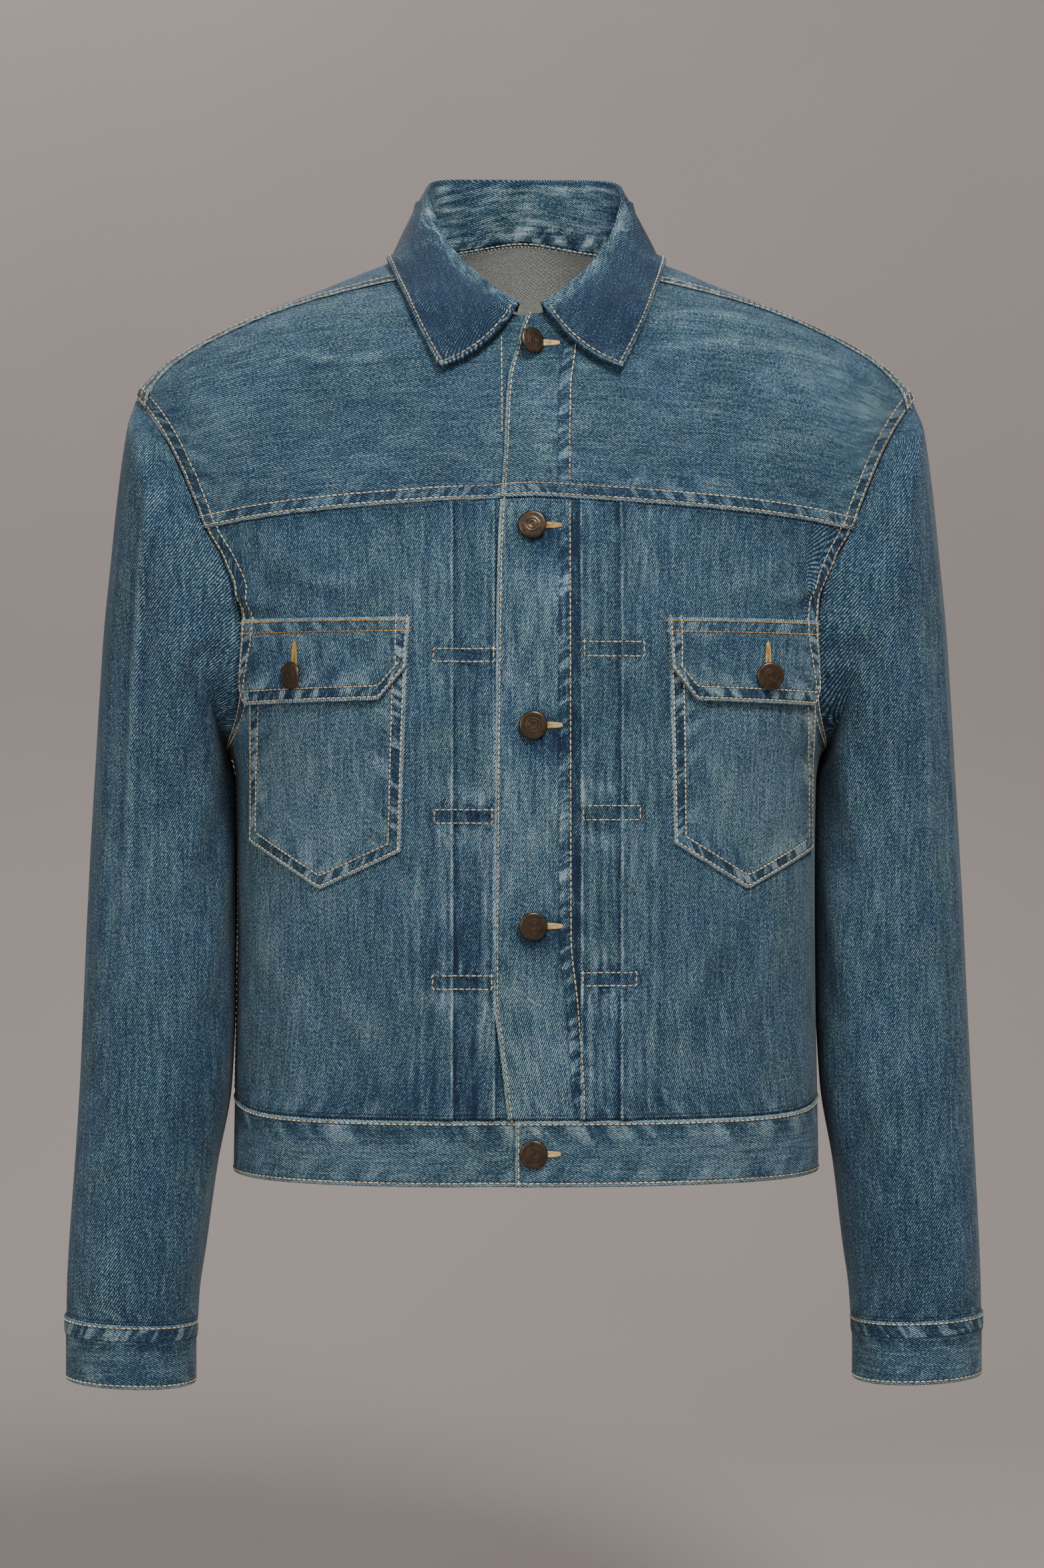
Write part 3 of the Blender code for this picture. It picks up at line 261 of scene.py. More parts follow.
# Collar: degrees round the neck seam, the fold's x, y, z, the outer edge's x, y, z, and how far
# the leaf's middle swings out in x, y, z
COLLAR = (
    (9.0, 0.0072, -0.0850, -0.0395, 0.0605, -0.0990, -0.0845, -0.0080, -0.0040, -0.0100),
    (20.0, 0.0180, -0.0740, -0.0320, 0.0665, -0.0930, -0.0730, -0.0040, -0.0040, -0.0050),
    (33.0, 0.0310, -0.0590, -0.0195, 0.0735, -0.0830, -0.0590, 0.0000, -0.0040, -0.0010),
    (47.0, 0.0440, -0.0420, -0.0060, 0.0815, -0.0650, -0.0410, 0.0020, -0.0030, 0.0020),
    (62.0, 0.0555, -0.0220, 0.0120, 0.0885, -0.0400, -0.0230, 0.0030, -0.0020, 0.0030),
    (78.0, 0.0635, -0.0020, 0.0315, 0.0930, -0.0110, -0.0070, 0.0030, 0.0000, 0.0030),
    (92.0, 0.0672, 0.0150, 0.0470, 0.0945, 0.0170, 0.0000, 0.0030, 0.0010, 0.0030),
    (107.0, 0.0670, 0.0310, 0.0575, 0.0925, 0.0420, 0.0030, 0.0030, 0.0020, 0.0030),
    (124.0, 0.0600, 0.0450, 0.0635, 0.0820, 0.0640, 0.0050, 0.0020, 0.0030, 0.0030),
    (142.0, 0.0450, 0.0550, 0.0660, 0.0610, 0.0800, 0.0070, 0.0010, 0.0030, 0.0030),
    (161.0, 0.0240, 0.0605, 0.0670, 0.0320, 0.0885, 0.0080, 0.0000, 0.0030, 0.0030),
    (180.0, 0.0000, 0.0620, 0.0672, 0.0000, 0.0910, 0.0085, 0.0000, 0.0030, 0.0030),
)
COLLAR_FOLD_RADIUS = 0.0017
COLLAR_ANGLE_STEP = 2.2
LEAF_CLEARANCE = 0.0034

# Pockets and flaps, on the wearer's right and left side (-1 and 1)
POCKET_TOP = -0.262
POCKET_INNER_X = {-1: (0.0812, 0.0860), 1: (0.0888, 0.0925)}
POCKET_OUTER_X = {-1: 0.1868, 1: 0.1915}
POCKET_CORNERS_Z = {-1: (-0.4045, -0.3990), 1: (-0.3990, -0.4045)}
POCKET_POINT = {-1: (0.1395, -0.4300), 1: (0.1430, -0.4300)}
FLAP_TOP = -0.2505
FLAP_TOP_INNER = {-1: 0.0795, 1: 0.0878}
# Lower edge of a flap: distance from the top's inner end, height
FLAP_LOWER_EDGE = (
    (0.0027, -0.2840),
    (0.0205, -0.3055),
    (0.1050, -0.3072),
    (0.1077, -0.2950),
)
LAY_GAP = 0.0004
FLAP_LIFT = 0.0020

# Tack button from the centre of its face to its foot: radius, height
BUTTON_PROFILE = (
    (0.0000, 0.00342),
    (0.0022, 0.00340),
    (0.0024, 0.00350),
    (0.0027, 0.00350),
    (0.0029, 0.00338),
    (0.0040, 0.00338),
    (0.0042, 0.00348),
    (0.0045, 0.00348),
    (0.0047, 0.00336),
    (0.0062, 0.00340),
    (0.0078, 0.00345),
    (0.0086, 0.00328),
    (0.0091, 0.00285),
    (0.0094, 0.00225),
    (0.0092, 0.00175),
    (0.0085, 0.00150),
    (0.0046, 0.00135),
    (0.0040, 0.00000),
    (0.0000, 0.00000),
)
BUTTON_SIDES = 48
# Buttons of the front: height, turn about the upright axis in degrees
FRONT_BUTTONS = ((-0.0665, 34.0), (-0.1900, -4.0), (-0.3215, 0.0), (-0.4530, 5.0))
BAND_BUTTON = (0.0005, -0.6025)
FLAP_BUTTON = (0.1545, -0.2885)
FLAP_BUTTON_TURNS = {-1: -22.0, 1: -14.0}
CUFF_BUTTON_ANGLE = 245.0
CUFF_BUTTON_DROP = 0.0315

# Soft creases of the fronts, by side and piece: start x, z, end x, z, half-width, rise, tone
FRONT_CREASES = {
    (-1, "panel"): (
        (0.205, -0.212, 0.176, -0.248, 0.0050, 0.0026, 0.05),
        (0.196, -0.234, 0.160, -0.240, 0.0050, 0.0020, 0.05),
        (0.176, -0.206, 0.110, -0.232, 0.0080, 0.0012, 0.06),
        (0.150, -0.226, 0.100, -0.222, 0.0050, 0.0008, 0.06),
        (0.182, -0.452, 0.120, -0.545, 0.0110, 0.0014, 0.04),
        (0.130, -0.455, 0.090, -0.560, 0.0090, 0.0012, 0.05),
        (0.160, -0.520, 0.150, -0.575, 0.0070, 0.0012, 0.05),
    ),
    (1, "panel"): (
        (0.202, -0.208, 0.180, -0.232, 0.0050, 0.0024, 0.05),
        (0.196, -0.226, 0.150, -0.236, 0.0060, 0.0018, 0.05),
        (0.170, -0.208, 0.112, -0.234, 0.0080, 0.0012, 0.06),
        (0.165, -0.450, 0.110, -0.545, 0.0120, 0.0014, 0.04),
        (0.120, -0.450, 0.085, -0.520, 0.0090, 0.0012, 0.05),
        (0.100, -0.520, 0.092, -0.575, 0.0060, 0.0012, 0.05),
    ),
    (-1, "yoke"): (
        (0.171, -0.0700, 0.066, -0.0660, 0.0032, 0.0009, 0.16),
        (0.230, -0.1400, 0.200, -0.1560, 0.0040, 0.0010, 0.08),
        (0.205, -0.1750, 0.192, -0.1560, 0.0030, 0.0010, 0.14),
        (0.070, -0.1640, 0.045, -0.1560, 0.0030, 0.0009, 0.14),
        (0.150, -0.1560, 0.090, -0.1500, 0.0090, 0.0008, 0.03),
    ),
    (1, "yoke"): (
        (0.086, -0.0460, 0.168, -0.0510, 0.0034, 0.0010, 0.14),
        (0.072, -0.0745, 0.212, -0.0750, 0.0050, 0.0011, 0.12),
        (0.116, -0.1530, 0.232, -0.1270, 0.0060, 0.0012, 0.05),
        (0.062, -0.1640, 0.078, -0.1560, 0.0030, 0.0010, 0.16),
        (0.222, -0.1080, 0.240, -0.0960, 0.0090, 0.0010, 0.12),
    ),
}
# Faded and dark places of the fronts, by side and piece: x, z, half-width, half-height, tone
FRONT_MARKS = {
    (-1, "panel"): (
        (0.0475, -0.258, 0.016, 0.022, 0.05),
        (0.0400, -0.366, 0.012, 0.007, 0.16),
        (0.0600, -0.360, 0.008, 0.010, 0.08),
        (0.0480, -0.381, 0.024, 0.006, -0.08),
        (0.0400, -0.397, 0.018, 0.008, 0.12),
        (0.0500, -0.466, 0.022, 0.012, -0.10),
        (0.0560, -0.502, 0.018, 0.007, 0.13),
        (0.0340, -0.520, 0.010, 0.014, 0.09),
        (0.0450, -0.555, 0.020, 0.022, -0.11),
        (0.1000, -0.566, 0.030, 0.012, -0.07),
        (0.1600, -0.222, 0.030, 0.012, -0.05),
        (0.0760, -0.440, 0.005, 0.060, 0.05),
    ),
    (1, "panel"): (
        (0.0080, -0.1980, 0.019, 0.017, -0.30),
        (0.0080, -0.3290, 0.019, 0.016, -0.30),
        (0.0070, -0.4600, 0.019, 0.016, -0.28),
        (0.0180, -0.2500, 0.004, 0.040, 0.08),
        (0.0210, -0.3800, 0.003, 0.035, 0.10),
        (0.0200, -0.2250, 0.006, 0.006, 0.12),
        (0.0190, -0.4200, 0.005, 0.010, 0.12),
        (0.0420, -0.260, 0.012, 0.022, 0.05),
        (0.0400, -0.366, 0.012, 0.008, 0.14),
        (0.0450, -0.397, 0.018, 0.008, 0.12),
        (0.0400, -0.470, 0.016, 0.008, 0.10),
        (0.0500, -0.505, 0.018, 0.007, 0.12),
        (0.0420, -0.545, 0.014, 0.022, 0.07),
        (0.0900, -0.566, 0.030, 0.010, -0.07),
        (0.0750, -0.2150, 0.006, 0.020, 0.08),
        (0.1500, -0.2050, 0.030, 0.010, -0.05),
    ),
    (-1, "yoke"): (
        (0.2150, -0.1120, 0.012, 0.020, 0.07),
        (0.1400, -0.0380, 0.060, 0.010, 0.05),
        (0.1000, -0.1200, 0.050, 0.030, -0.02),
    ),
    (1, "yoke"): (
        (0.2050, -0.0850, 0.028, 0.018, 0.07),
        (0.1300, -0.0560, 0.040, 0.008, 0.08),
        (0.0120, -0.0640, 0.020, 0.014, -0.12),
        (0.0050, -0.1080, 0.016, 0.014, 0.10),
        (0.0200, -0.1250, 0.004, 0.030, 0.08),
        (0.0120, -0.1400, 0.014, 0.010, 0.08),
        (0.1500, -0.1500, 0.060, 0.008, -0.05),
    ),
}
MARK_STRENGTH = 1.4
# Soft creases of the back: start x, z, end x, z, half-width, rise, tone
BACK_CREASES = (
    (0.190, -0.300, 0.120, -0.360, 0.0110, 0.0020, 0.06),
    (-0.185, -0.290, -0.110, -0.345, 0.0120, 0.0022, 0.06),
    (0.110, -0.560, 0.040, -0.480, 0.0120, 0.0016, 0.05),
    (-0.120, -0.565, -0.060, -0.470, 0.0130, 0.0016, 0.05),
    (0.180, -0.400, 0.150, -0.500, 0.0110, 0.0014, 0.04),
    (-0.175, -0.380, -0.150, -0.480, 0.0110, 0.0016, 0.04),
    (0.150, -0.200, 0.060, -0.230, 0.0100, 0.0012, 0.05),
    (-0.160, -0.195, -0.080, -0.235, 0.0110, 0.0012, 0.05),
)
# Soft folds of a sleeve by side: degrees round it, height, half-length, half-width in degrees,
# rise, how far the fold slants in degrees a metre, tone
SLEEVE_FOLDS = {
    -1: (
        (66.0, -0.300, 0.200, 3.2, 0.0014, -14.0, 0.15),
        (58.0, -0.300, 0.200, 2.6, -0.0009, -14.0, -0.09),
        (40.0, -0.330, 0.230, 5.0, 0.0010, -20.0, -0.08),
        (84.0, -0.420, 0.200, 3.0, 0.0007, -10.0, 0.05),
        (114.0, -0.255, 0.075, 6.0, 0.0024, 420.0, 0.07),
        (138.0, -0.250, 0.040, 7.0, 0.0030, 480.0, 0.09),
        (118.0, -0.390, 0.060, 13.0, 0.0026, 320.0, 0.05),
        (140.0, -0.455, 0.060, 12.0, 0.0024, 300.0, 0.05),
        (100.0, -0.560, 0.070, 14.0, 0.0018, 260.0, 0.04),
        (70.0, -0.690, 0.035, 16.0, 0.0016, 120.0, 0.04),
        (235.0, -0.440, 0.080, 20.0, 0.0028, -200.0, 0.05),
        (300.0, -0.330, 0.140, 15.0, 0.0026, 0.0, 0.05),
        (260.0, -0.620, 0.080, 16.0, 0.0024, 160.0, 0.05),
        (150.0, -0.640, 0.060, 14.0, 0.0020, 240.0, 0.04),
    ),
    1: (
        (38.0, -0.320, 0.230, 5.0, 0.0010, 20.0, -0.08),
        (64.0, -0.350, 0.190, 3.4, 0.0010, 14.0, 0.08),
        (92.0, -0.460, 0.180, 3.0, 0.0007, 10.0, 0.04),
        (110.0, -0.250, 0.060, 8.0, 0.0018, 300.0, 0.05),
        (136.0, -0.250, 0.045, 8.0, 0.0022, 380.0, 0.06),
        (128.0, -0.240, 0.040, 7.0, -0.0008, 480.0, -0.05),
        (124.0, -0.375, 0.055, 13.0, 0.0026, 320.0, 0.05),
        (138.0, -0.470, 0.070, 13.0, 0.0024, 320.0, 0.05),
        (105.0, -0.600, 0.060, 14.0, 0.0020, 240.0, 0.04),
        (65.0, -0.665, 0.050, 16.0, 0.0018, 120.0, 0.04),
        (235.0, -0.460, 0.080, 20.0, 0.0028, -200.0, 0.05),
        (300.0, -0.350, 0.140, 15.0, 0.0026, 0.0, 0.05),
        (260.0, -0.650, 0.080, 16.0, 0.0024, 160.0, 0.05),
        (160.0, -0.560, 0.060, 14.0, 0.0020, 240.0, 0.04),
    ),
}

PROBE = 0.0005
HALVINGS = 40
SETTLE_STEPS = 6
TWILL_SLANT = 62.0  # degrees of the twill's lines from the cloth's weft


def smooth_rows(x, values, at):
    """Values along the first axis, smoothly interpolated at new places without overshoot."""
    x = np.asarray(x, float)
    values = np.asarray(values, float)
    shape = (-1,) + (1,) * (values.ndim - 1)
    step = np.diff(x).reshape(shape)
    slope = np.diff(values, axis=0) / step
    tangent = np.zeros_like(values)
    tangent[0], tangent[-1] = slope[0], slope[-1]
    product = slope[:-1] * slope[1:]
    total = np.where(product > 0, slope[:-1] + slope[1:], 1.0)
    tangent[1:-1] = np.where(product > 0, 2 * product / total, 0.0)
    at = np.clip(np.asarray(at, float), x[0], x[-1])
    i = np.clip(np.searchsorted(x, at) - 1, 0, len(x) - 2)
    h = (x[i + 1] - x[i]).reshape(at.shape + (1,) * (values.ndim - 1))
    s = (at - x[i]).reshape(h.shape) / h
    rise = (3 - 2 * s) * s * s
    bend = s * (1 - s) * h * (tangent[i] * (1 - s) - tangent[i + 1] * s)
    return values[i] * (1 - rise) + values[i + 1] * rise + bend


def smooth_curve(table, column, key=0):
    rows = sorted(table, key=lambda row: row[key])
    x = [row[key] for row in rows]
    y = [row[column] for row in rows]
    return lambda at: smooth_rows(x, y, at)


half_width = smooth_curve(FORM, 1)
front_depth = smooth_curve(FORM, 2)
back_depth = smooth_curve(FORM, 3)
roundness = smooth_curve(FORM, 4)
armhole_x = smooth_curve(ARMHOLE, 1)
front_seam_z = smooth_curve(FRONT_YOKE_SEAM, 1)
back_seam_z = smooth_curve(
    (*BACK_YOKE_SEAM, (float(armhole_x(BACK_YOKE_END)), BACK_YOKE_END)), 1
)
lap_past_centre = smooth_curve(FRONT_EDGE, 1)
placket_line_x = smooth_curve(PLACKET_LINE, 1)
RIDGE_Z = np.linspace(FORM[0][0], SHOULDER_TIP, 400)
RIDGE_X = half_width(RIDGE_Z)


def ridge_height(x):
    return np.interp(np.abs(x), RIDGE_X, RIDGE_Z)


def blend(a, b, share):
    return a + (b - a) * share


def ease(value):
    """0 below 0, 1 above 1 and a smooth step between."""
    value = np.clip(value, 0.0, 1.0)
    return value * value * (3 - 2 * value)


def unit(vectors):
    length = np.linalg.norm(vectors, axis=-1, keepdims=True)
    return vectors / np.maximum(length, 1e-12)


def points(x, y, z):
    return np.stack(np.broadcast_arrays(x, y, z), axis=-1).astype(float)


def form_level(p):
    """1 on the torso form, less inside it and more outside."""
    x, y, z = p[..., 0], p[..., 1], p[..., 2]
    depth = np.where(y < 0, front_depth(z), back_depth(z))
    power = roundness(z)
    return (np.abs(x / half_width(z)) ** power + np.abs(y / depth) ** power) ** (1 / power)


def form_normal(p):
    steps = PROBE * np.eye(3)
    slope = [form_level(p + step) - form_level(p - step) for step in steps]
    return unit(np.stack(slope, axis=-1))


def clear_of_form(p, clearance):
    """The points, moved straight out until they are at least this far from the form."""
    for _ in range(SETTLE_STEPS):
        out = form_normal(p)
        here = form_level(p)
        rate = (form_level(p + out * PROBE) - here) / PROBE
        short = np.maximum(clearance - (here - 1) / rate, 0.0)
        p = p + out * short[..., None]
    return p


def on_form(x, z, side):
    """The form's points at this x and height; side is -1 in front and 1 behind."""
    depth = np.where(np.asarray(side) < 0, front_depth(z), back_depth(z))
    power = roundness(z)
    share = np.minimum(np.abs(x) / half_width(z), 1.0)
    return points(x, side * depth * (1 - share**power) ** (1 / power), z)


def round_form(angle, z):
    s, c = np.sin(np.radians(angle)), np.cos(np.radians(angle))
    power = roundness(z)
    reach = (np.abs(s) ** power + np.abs(c) ** power) ** (-1 / power)
    depth = np.where(c > 0, front_depth(z), back_depth(z))
    return points(half_width(z) * reach * s, -depth * reach * c, z)


def angle_at(x, z):
    power = roundness(z)
    share = np.minimum(np.abs(x) / half_width(z), 1.0)
    angle = np.degrees(np.arctan2(share, (1 - share**power) ** (1 / power)))
    return np.copysign(angle, x)


def height_over(x, y):
    """Height of the form's upper surface over points of the plan."""
    low = np.full(np.shape(x), FRONT_YOKE_END)
    high = np.full(np.shape(x), FORM[0][0])
    for _ in range(HALVINGS):
        middle = (low + high) / 2
        inside = form_level(points(x, y, middle)) < 1
        low = np.where(inside, middle, low)
        high = np.where(inside, high, middle)
    return low


def over_shoulder(pairs):
    """The form's points for (x, reach) pairs; reach is 0 on the shoulder line."""
    x, reach = pairs[..., 0], pairs[..., 1]
    return on_form(x, ridge_height(x) - reach * reach, np.where(reach < 0, -1.0, 1.0))


def pairs_at(x, z, side):
    return np.stack([x, side * np.sqrt(np.maximum(ridge_height(x) - z, 0.0))], axis=-1)


def neck_plan(angle):
    s, c = np.sin(np.radians(angle)), np.cos(np.radians(angle))
    width = np.where(c > 0, np.abs(s) ** NECK_TAPER, np.abs(s))
    return np.copysign(NECK_HALF_WIDTH * width, s), NECK_CENTRE_Y - NECK_HALF_DEPTH * c


def plan_pairs(x, y):
    return pairs_at(x, height_over(x, y), np.where(y < 0, -1.0, 1.0))


def shoulder_plan(share):
    neck_x, neck_y = neck_plan(SHOULDER_AT_NECK)
    end = on_form(armhole_x(SHOULDER_SEAM_END), SHOULDER_SEAM_END, -1)
    return blend(neck_x, end[0], share), blend(neck_y, end[1], share)


def stops(values, cell):
    """Values through the given ones, with about this cell between them."""
    made = [values[0]]
    for a, b in zip(values, values[1:]):
        count = max(1, round(abs(b - a) / cell))
        made += [a + (b - a) * i / count for i in range(1, count + 1)]
    return np.array(made)


def edged(start, end, cell=CELL, inner=()):
    """Values from start to end, closer to each other where the edges are rolled."""
    way = math.copysign(1.0, end - start)
    near = [start + way * step for step in EDGE_STEPS]
    far = [end - way * step for step in reversed(EDGE_STEPS)]
    return stops([*near, *inner, *far], cell)


def along(line):
    steps = np.linalg.norm(np.diff(line, axis=0), axis=1)
    return np.concatenate([[0.0], np.cumsum(steps)]) / steps.sum()


def resampled(line, shares):
    """Points at new shares of the way along a line."""
    at = along(line)
    return np.stack([np.interp(shares, at, line[:, k]) for k in range(line.shape[1])], axis=-1)


def length_of(line):
    return float(np.linalg.norm(np.diff(line, axis=0), axis=1).sum())


def coons(bottom, top, left, right):
    """Points inside four edges; left and right run from bottom to top."""
    left[0], left[-1], right[0], right[-1] = bottom[0], top[0], bottom[-1], top[-1]
    u = along(top)[None, :, None]
    v = along(right)[:, None, None]
    across = blend(left[:, None], right[:, None], u)
    upward = blend(bottom[None], top[None], v)
    low = blend(bottom[0], bottom[-1], u)
    high = blend(top[0], top[-1], u)
    return across + upward - blend(low, high, v)


def uneven_wave(run, pitch, seed):
    """A wave between -1 and 1 whose spacing and size vary along the run."""
    turn = 2 * math.pi / pitch
    shift = 1.4 * np.sin(run * turn / 2.7 + seed) + 0.9 * np.sin(run * turn / 4.3 + 2.1 * seed)
    size = 0.7 + 0.3 * np.sin(run * turn / 3.6 + 1.7 * seed)
    return size * np.sin(run * turn + shift + 3.1 * seed)


def crease_relief(x, z, creases):
    """Rise and tone of soft creases, each a ridge beside a hollow that fades at both ends."""
    rise, tone = np.zeros(np.shape(x)), np.zeros(np.shape(x))
    for x0, z0, x1, z1, half, height, shade in creases:
        length = math.hypot(x1 - x0, z1 - z0)
        dx, dz = (x1 - x0) / length, (z1 - z0) / length
        along_it = ((x - x0) * dx + (z - z0) * dz) / length
        bow = 0.08 * length * np.sin(np.pi * np.clip(along_it, 0, 1))
        off = ((x - x0) * -dz + (z - z0) * dx - bow) / half
        fade = ease(along_it / 0.3 + 0.5) * ease((1.15 - along_it) / 0.5)
        ridge, hollow = np.exp(-(off**2)), np.exp(-((off - 1.5) ** 2))
        rise = rise + height * fade * (ridge - 0.55 * hollow)
        tone = tone + shade * fade * (ridge - 0.6 * hollow)
    return rise, tone


def marks_tone(x, z, marks):
    """Tone of faded and dark places, each one soft and round."""
    tone = np.zeros(np.shape(x))
    for mark_x, mark_z, half_x, half_z, shade in marks:
        off = ((x - mark_x) / half_x) ** 2 + ((z - mark_z) / half_z) ** 2
        tone = tone + MARK_STRENGTH * shade * np.exp(-off)
    return tone


class Cloth:
    """A piece of cloth: a grid of base points with normals and the lift of its face over them."""

    def __init__(self, base, normal=None, ring=False, wall=WALL, seed=1.0):
        self.base = base
        self.normal = form_normal(base) if normal is None else normal
        self.ring = ring
        self.wall = wall
        self.seed = seed
        self.lift = np.zeros(base.shape[:2])
        self.sunk = np.zeros(base.shape[:2])
        self.tone = np.zeros(base.shape[:2])
        far, none = np.ones(base.shape[:2]), np.zeros(base.shape[:2])
        # Distances that the seams' wear and their painted edge and groove shade are drawn from
        self.wear = {"gap": far, "past": far, "run": none, "fold": none, "rope": none}
        across = np.cumsum(np.linalg.norm(np.diff(base, axis=1), axis=-1), axis=1)
        up = np.cumsum(np.linalg.norm(np.diff(base, axis=0), axis=-1), axis=0)
        self.across = np.pad(across, ((0, 0), (1, 0)))
        self.up = np.pad(up, ((1, 0), (0, 0)))
        self.grain = np.stack([self.across, self.up], axis=-1)

    def edge(self, name):
        """Distance from an edge and the way along it, at every point."""
        return {
            "bottom": (self.up, self.across),
            "top": (self.up[-1] - self.up, self.across),
            "left": (self.across, self.up),
            "right": (self.across[:, -1:] - self.across, self.up),
        }[name]

    def crease(self, rise, tone):
        self.lift = self.lift + rise
        self.tone = self.tone + tone

    def seam(self, name, rise=0.0, fold=0.5, rope=1.0, width=STITCH_LINES[1], where=None):
        """A sewn edge: its thick allowance, and the distances that its wear and its painted edge and groove
        shade are drawn from.
        """
        gap, run = self.edge(name)
        share = np.ones(gap.shape) if where is None else where
        self.lift = self.lift + rise * ease((width + 0.0035 - gap) / 0.003) * share
        self.seed += 1.37
        near = (gap < self.wear["gap"]) & (share > 0.5)
        values = {"gap": gap, "past": gap - width, "run": run + self.seed, "fold": fold, "rope": rope}
        for key, value in values.items():
            self.wear[key] = np.where(near, value, self.wear[key])

    def inner_seam(self, off, run, rope, where):
        """Puckers and painted groove shade along a line of stitches inside the piece; off is below 0 on its
        doubled side.
        """
        self.seed += 1.37
        gap = STITCH_LINES[0] + np.abs(off)
        near = (gap < self.wear["gap"]) & (np.abs(off) < 0.014) & where
        past = np.where(off < 0, -off - 0.0080, off + 0.0005)
        values = {"gap": gap, "past": past, "run": run + self.seed, "fold": 0.0, "rope": rope}
        for key, value in values.items():
            self.wear[key] = np.where(near, value, self.wear[key])

    def calmed(self):
        """The wear, without puckers where one seam's run gives way to another's."""
        run = self.wear["run"]
        down = np.abs(np.diff(run, axis=0)) > RUN_JUMP
        across = np.abs(np.diff(run, axis=1)) > RUN_JUMP
        mixed = np.zeros(run.shape, bool)
        mixed[1:] |= down
        mixed[:-1] |= down
        mixed[:, 1:] |= across
        mixed[:, :-1] |= across
        return {**self.wear, "rope": np.where(mixed, 0.0, self.wear["rope"])}

    def rolled(self):
        """The face's lift with its edges rolled down."""
        lift = self.lift
        names = ("bottom", "top") if self.ring else ("bottom", "top", "left", "right")
        for name in names:
            gap, _ = self.edge(name)
            inside = np.clip(1 - gap / ROLL, 0.0, 1.0)
            lift = lift - 0.8 * self.wall * (1 - np.sqrt(1 - inside**2))
        return lift

    def face(self):
        return self.base + self.normal * self.rolled()[..., None]

    def back(self):
        return self.base - self.normal * (self.wall + self.sunk)[..., None]

    def line(self, name, distance, start=0.0, end=0.0, side=1):
        """A line on the face at a distance from an edge, as points and outward normals.

        start and end leave off this much of it in metres.
        """
        gap, _ = self.edge(name)
        face, normal = self.face(), self.normal
        if name in ("left", "right"):
            gap, face, normal = gap.T, face.transpose(1, 0, 2), normal.transpose(1, 0, 2)
        if name in ("top", "right"):
            gap, face, normal = gap[::-1], face[::-1], normal[::-1]
        spots, outs = [], []
        for j in range(gap.shape[1]):
            at = np.interp(distance, gap[:, j], np.arange(gap.shape[0]))
            i = min(int(at), gap.shape[0] - 2)
            spots.append(blend(face[i, j], face[i + 1, j], at - i))
            outs.append(blend(normal[i, j], normal[i + 1, j], at - i))
        spots, outs = np.array(spots), unit(np.array(outs))
        total = length_of(spots)
        if start or end:
            keep = (along(spots) * total >= start) & (along(spots) * total <= total - end)
            spots, outs = spots[keep], outs[keep]
        return turned(spots, side), turned(outs, side)

    def flat_size(self):
        """Width and length of the cloth laid flat, with both skins counted as one."""
        wide = self.across[:, -1] + (
            np.linalg.norm(self.base[:, 0] - self.base[:, -1], axis=-1) if self.ring else 0.0
        )
        return float(wide.max()), float(self.up[-1].max())


def turned(vectors, side):
    return vectors * np.array([side, 1.0, 1.0])


def grid_faces(rows, columns, ring):
    j = np.arange(columns if ring else columns - 1)
    i = np.arange(rows - 1)[:, None]
    k = (j + 1) % columns
    a, b = i * columns + j, i * columns + k
    return np.stack([a, b, b + columns, a + columns], axis=-1).reshape(-1, 4)


def rim_faces(line, offset, ring):
    """Faces from a line of outer points to the same inner ones."""
    ahead = np.roll(line, -1) if ring else line[1:]
    here = line if ring else line[:-1]
    return np.stack([here, here + offset, ahead + offset, ahead], axis=-1)


def new_mesh(name, spots, faces):
    mesh = bpy.data.meshes.new(name)
    mesh.vertices.add(len(spots))
    mesh.vertices.foreach_set("co", np.ascontiguousarray(spots, np.float32).ravel())
    mesh.loops.add(faces.size)
    mesh.loops.foreach_set("vertex_index", np.ascontiguousarray(faces, np.int32).ravel())
    mesh.polygons.add(len(faces))
    mesh.polygons.foreach_set("loop_start", np.arange(0, faces.size, faces.shape[1], dtype=np.int32))
    mesh.update(calc_edges=True)
    mesh.shade_smooth()
    return mesh


def add_object(name, mesh):
    obj = bpy.data.objects.new(name, mesh)
    bpy.context.scene.collection.objects.link(obj)
    return obj


def set_values(mesh, name, values):
    layer = mesh.attributes.new(name, "FLOAT", "POINT")
    layer.data.foreach_set("value", np.ascontiguousarray(values, np.float32).ravel())


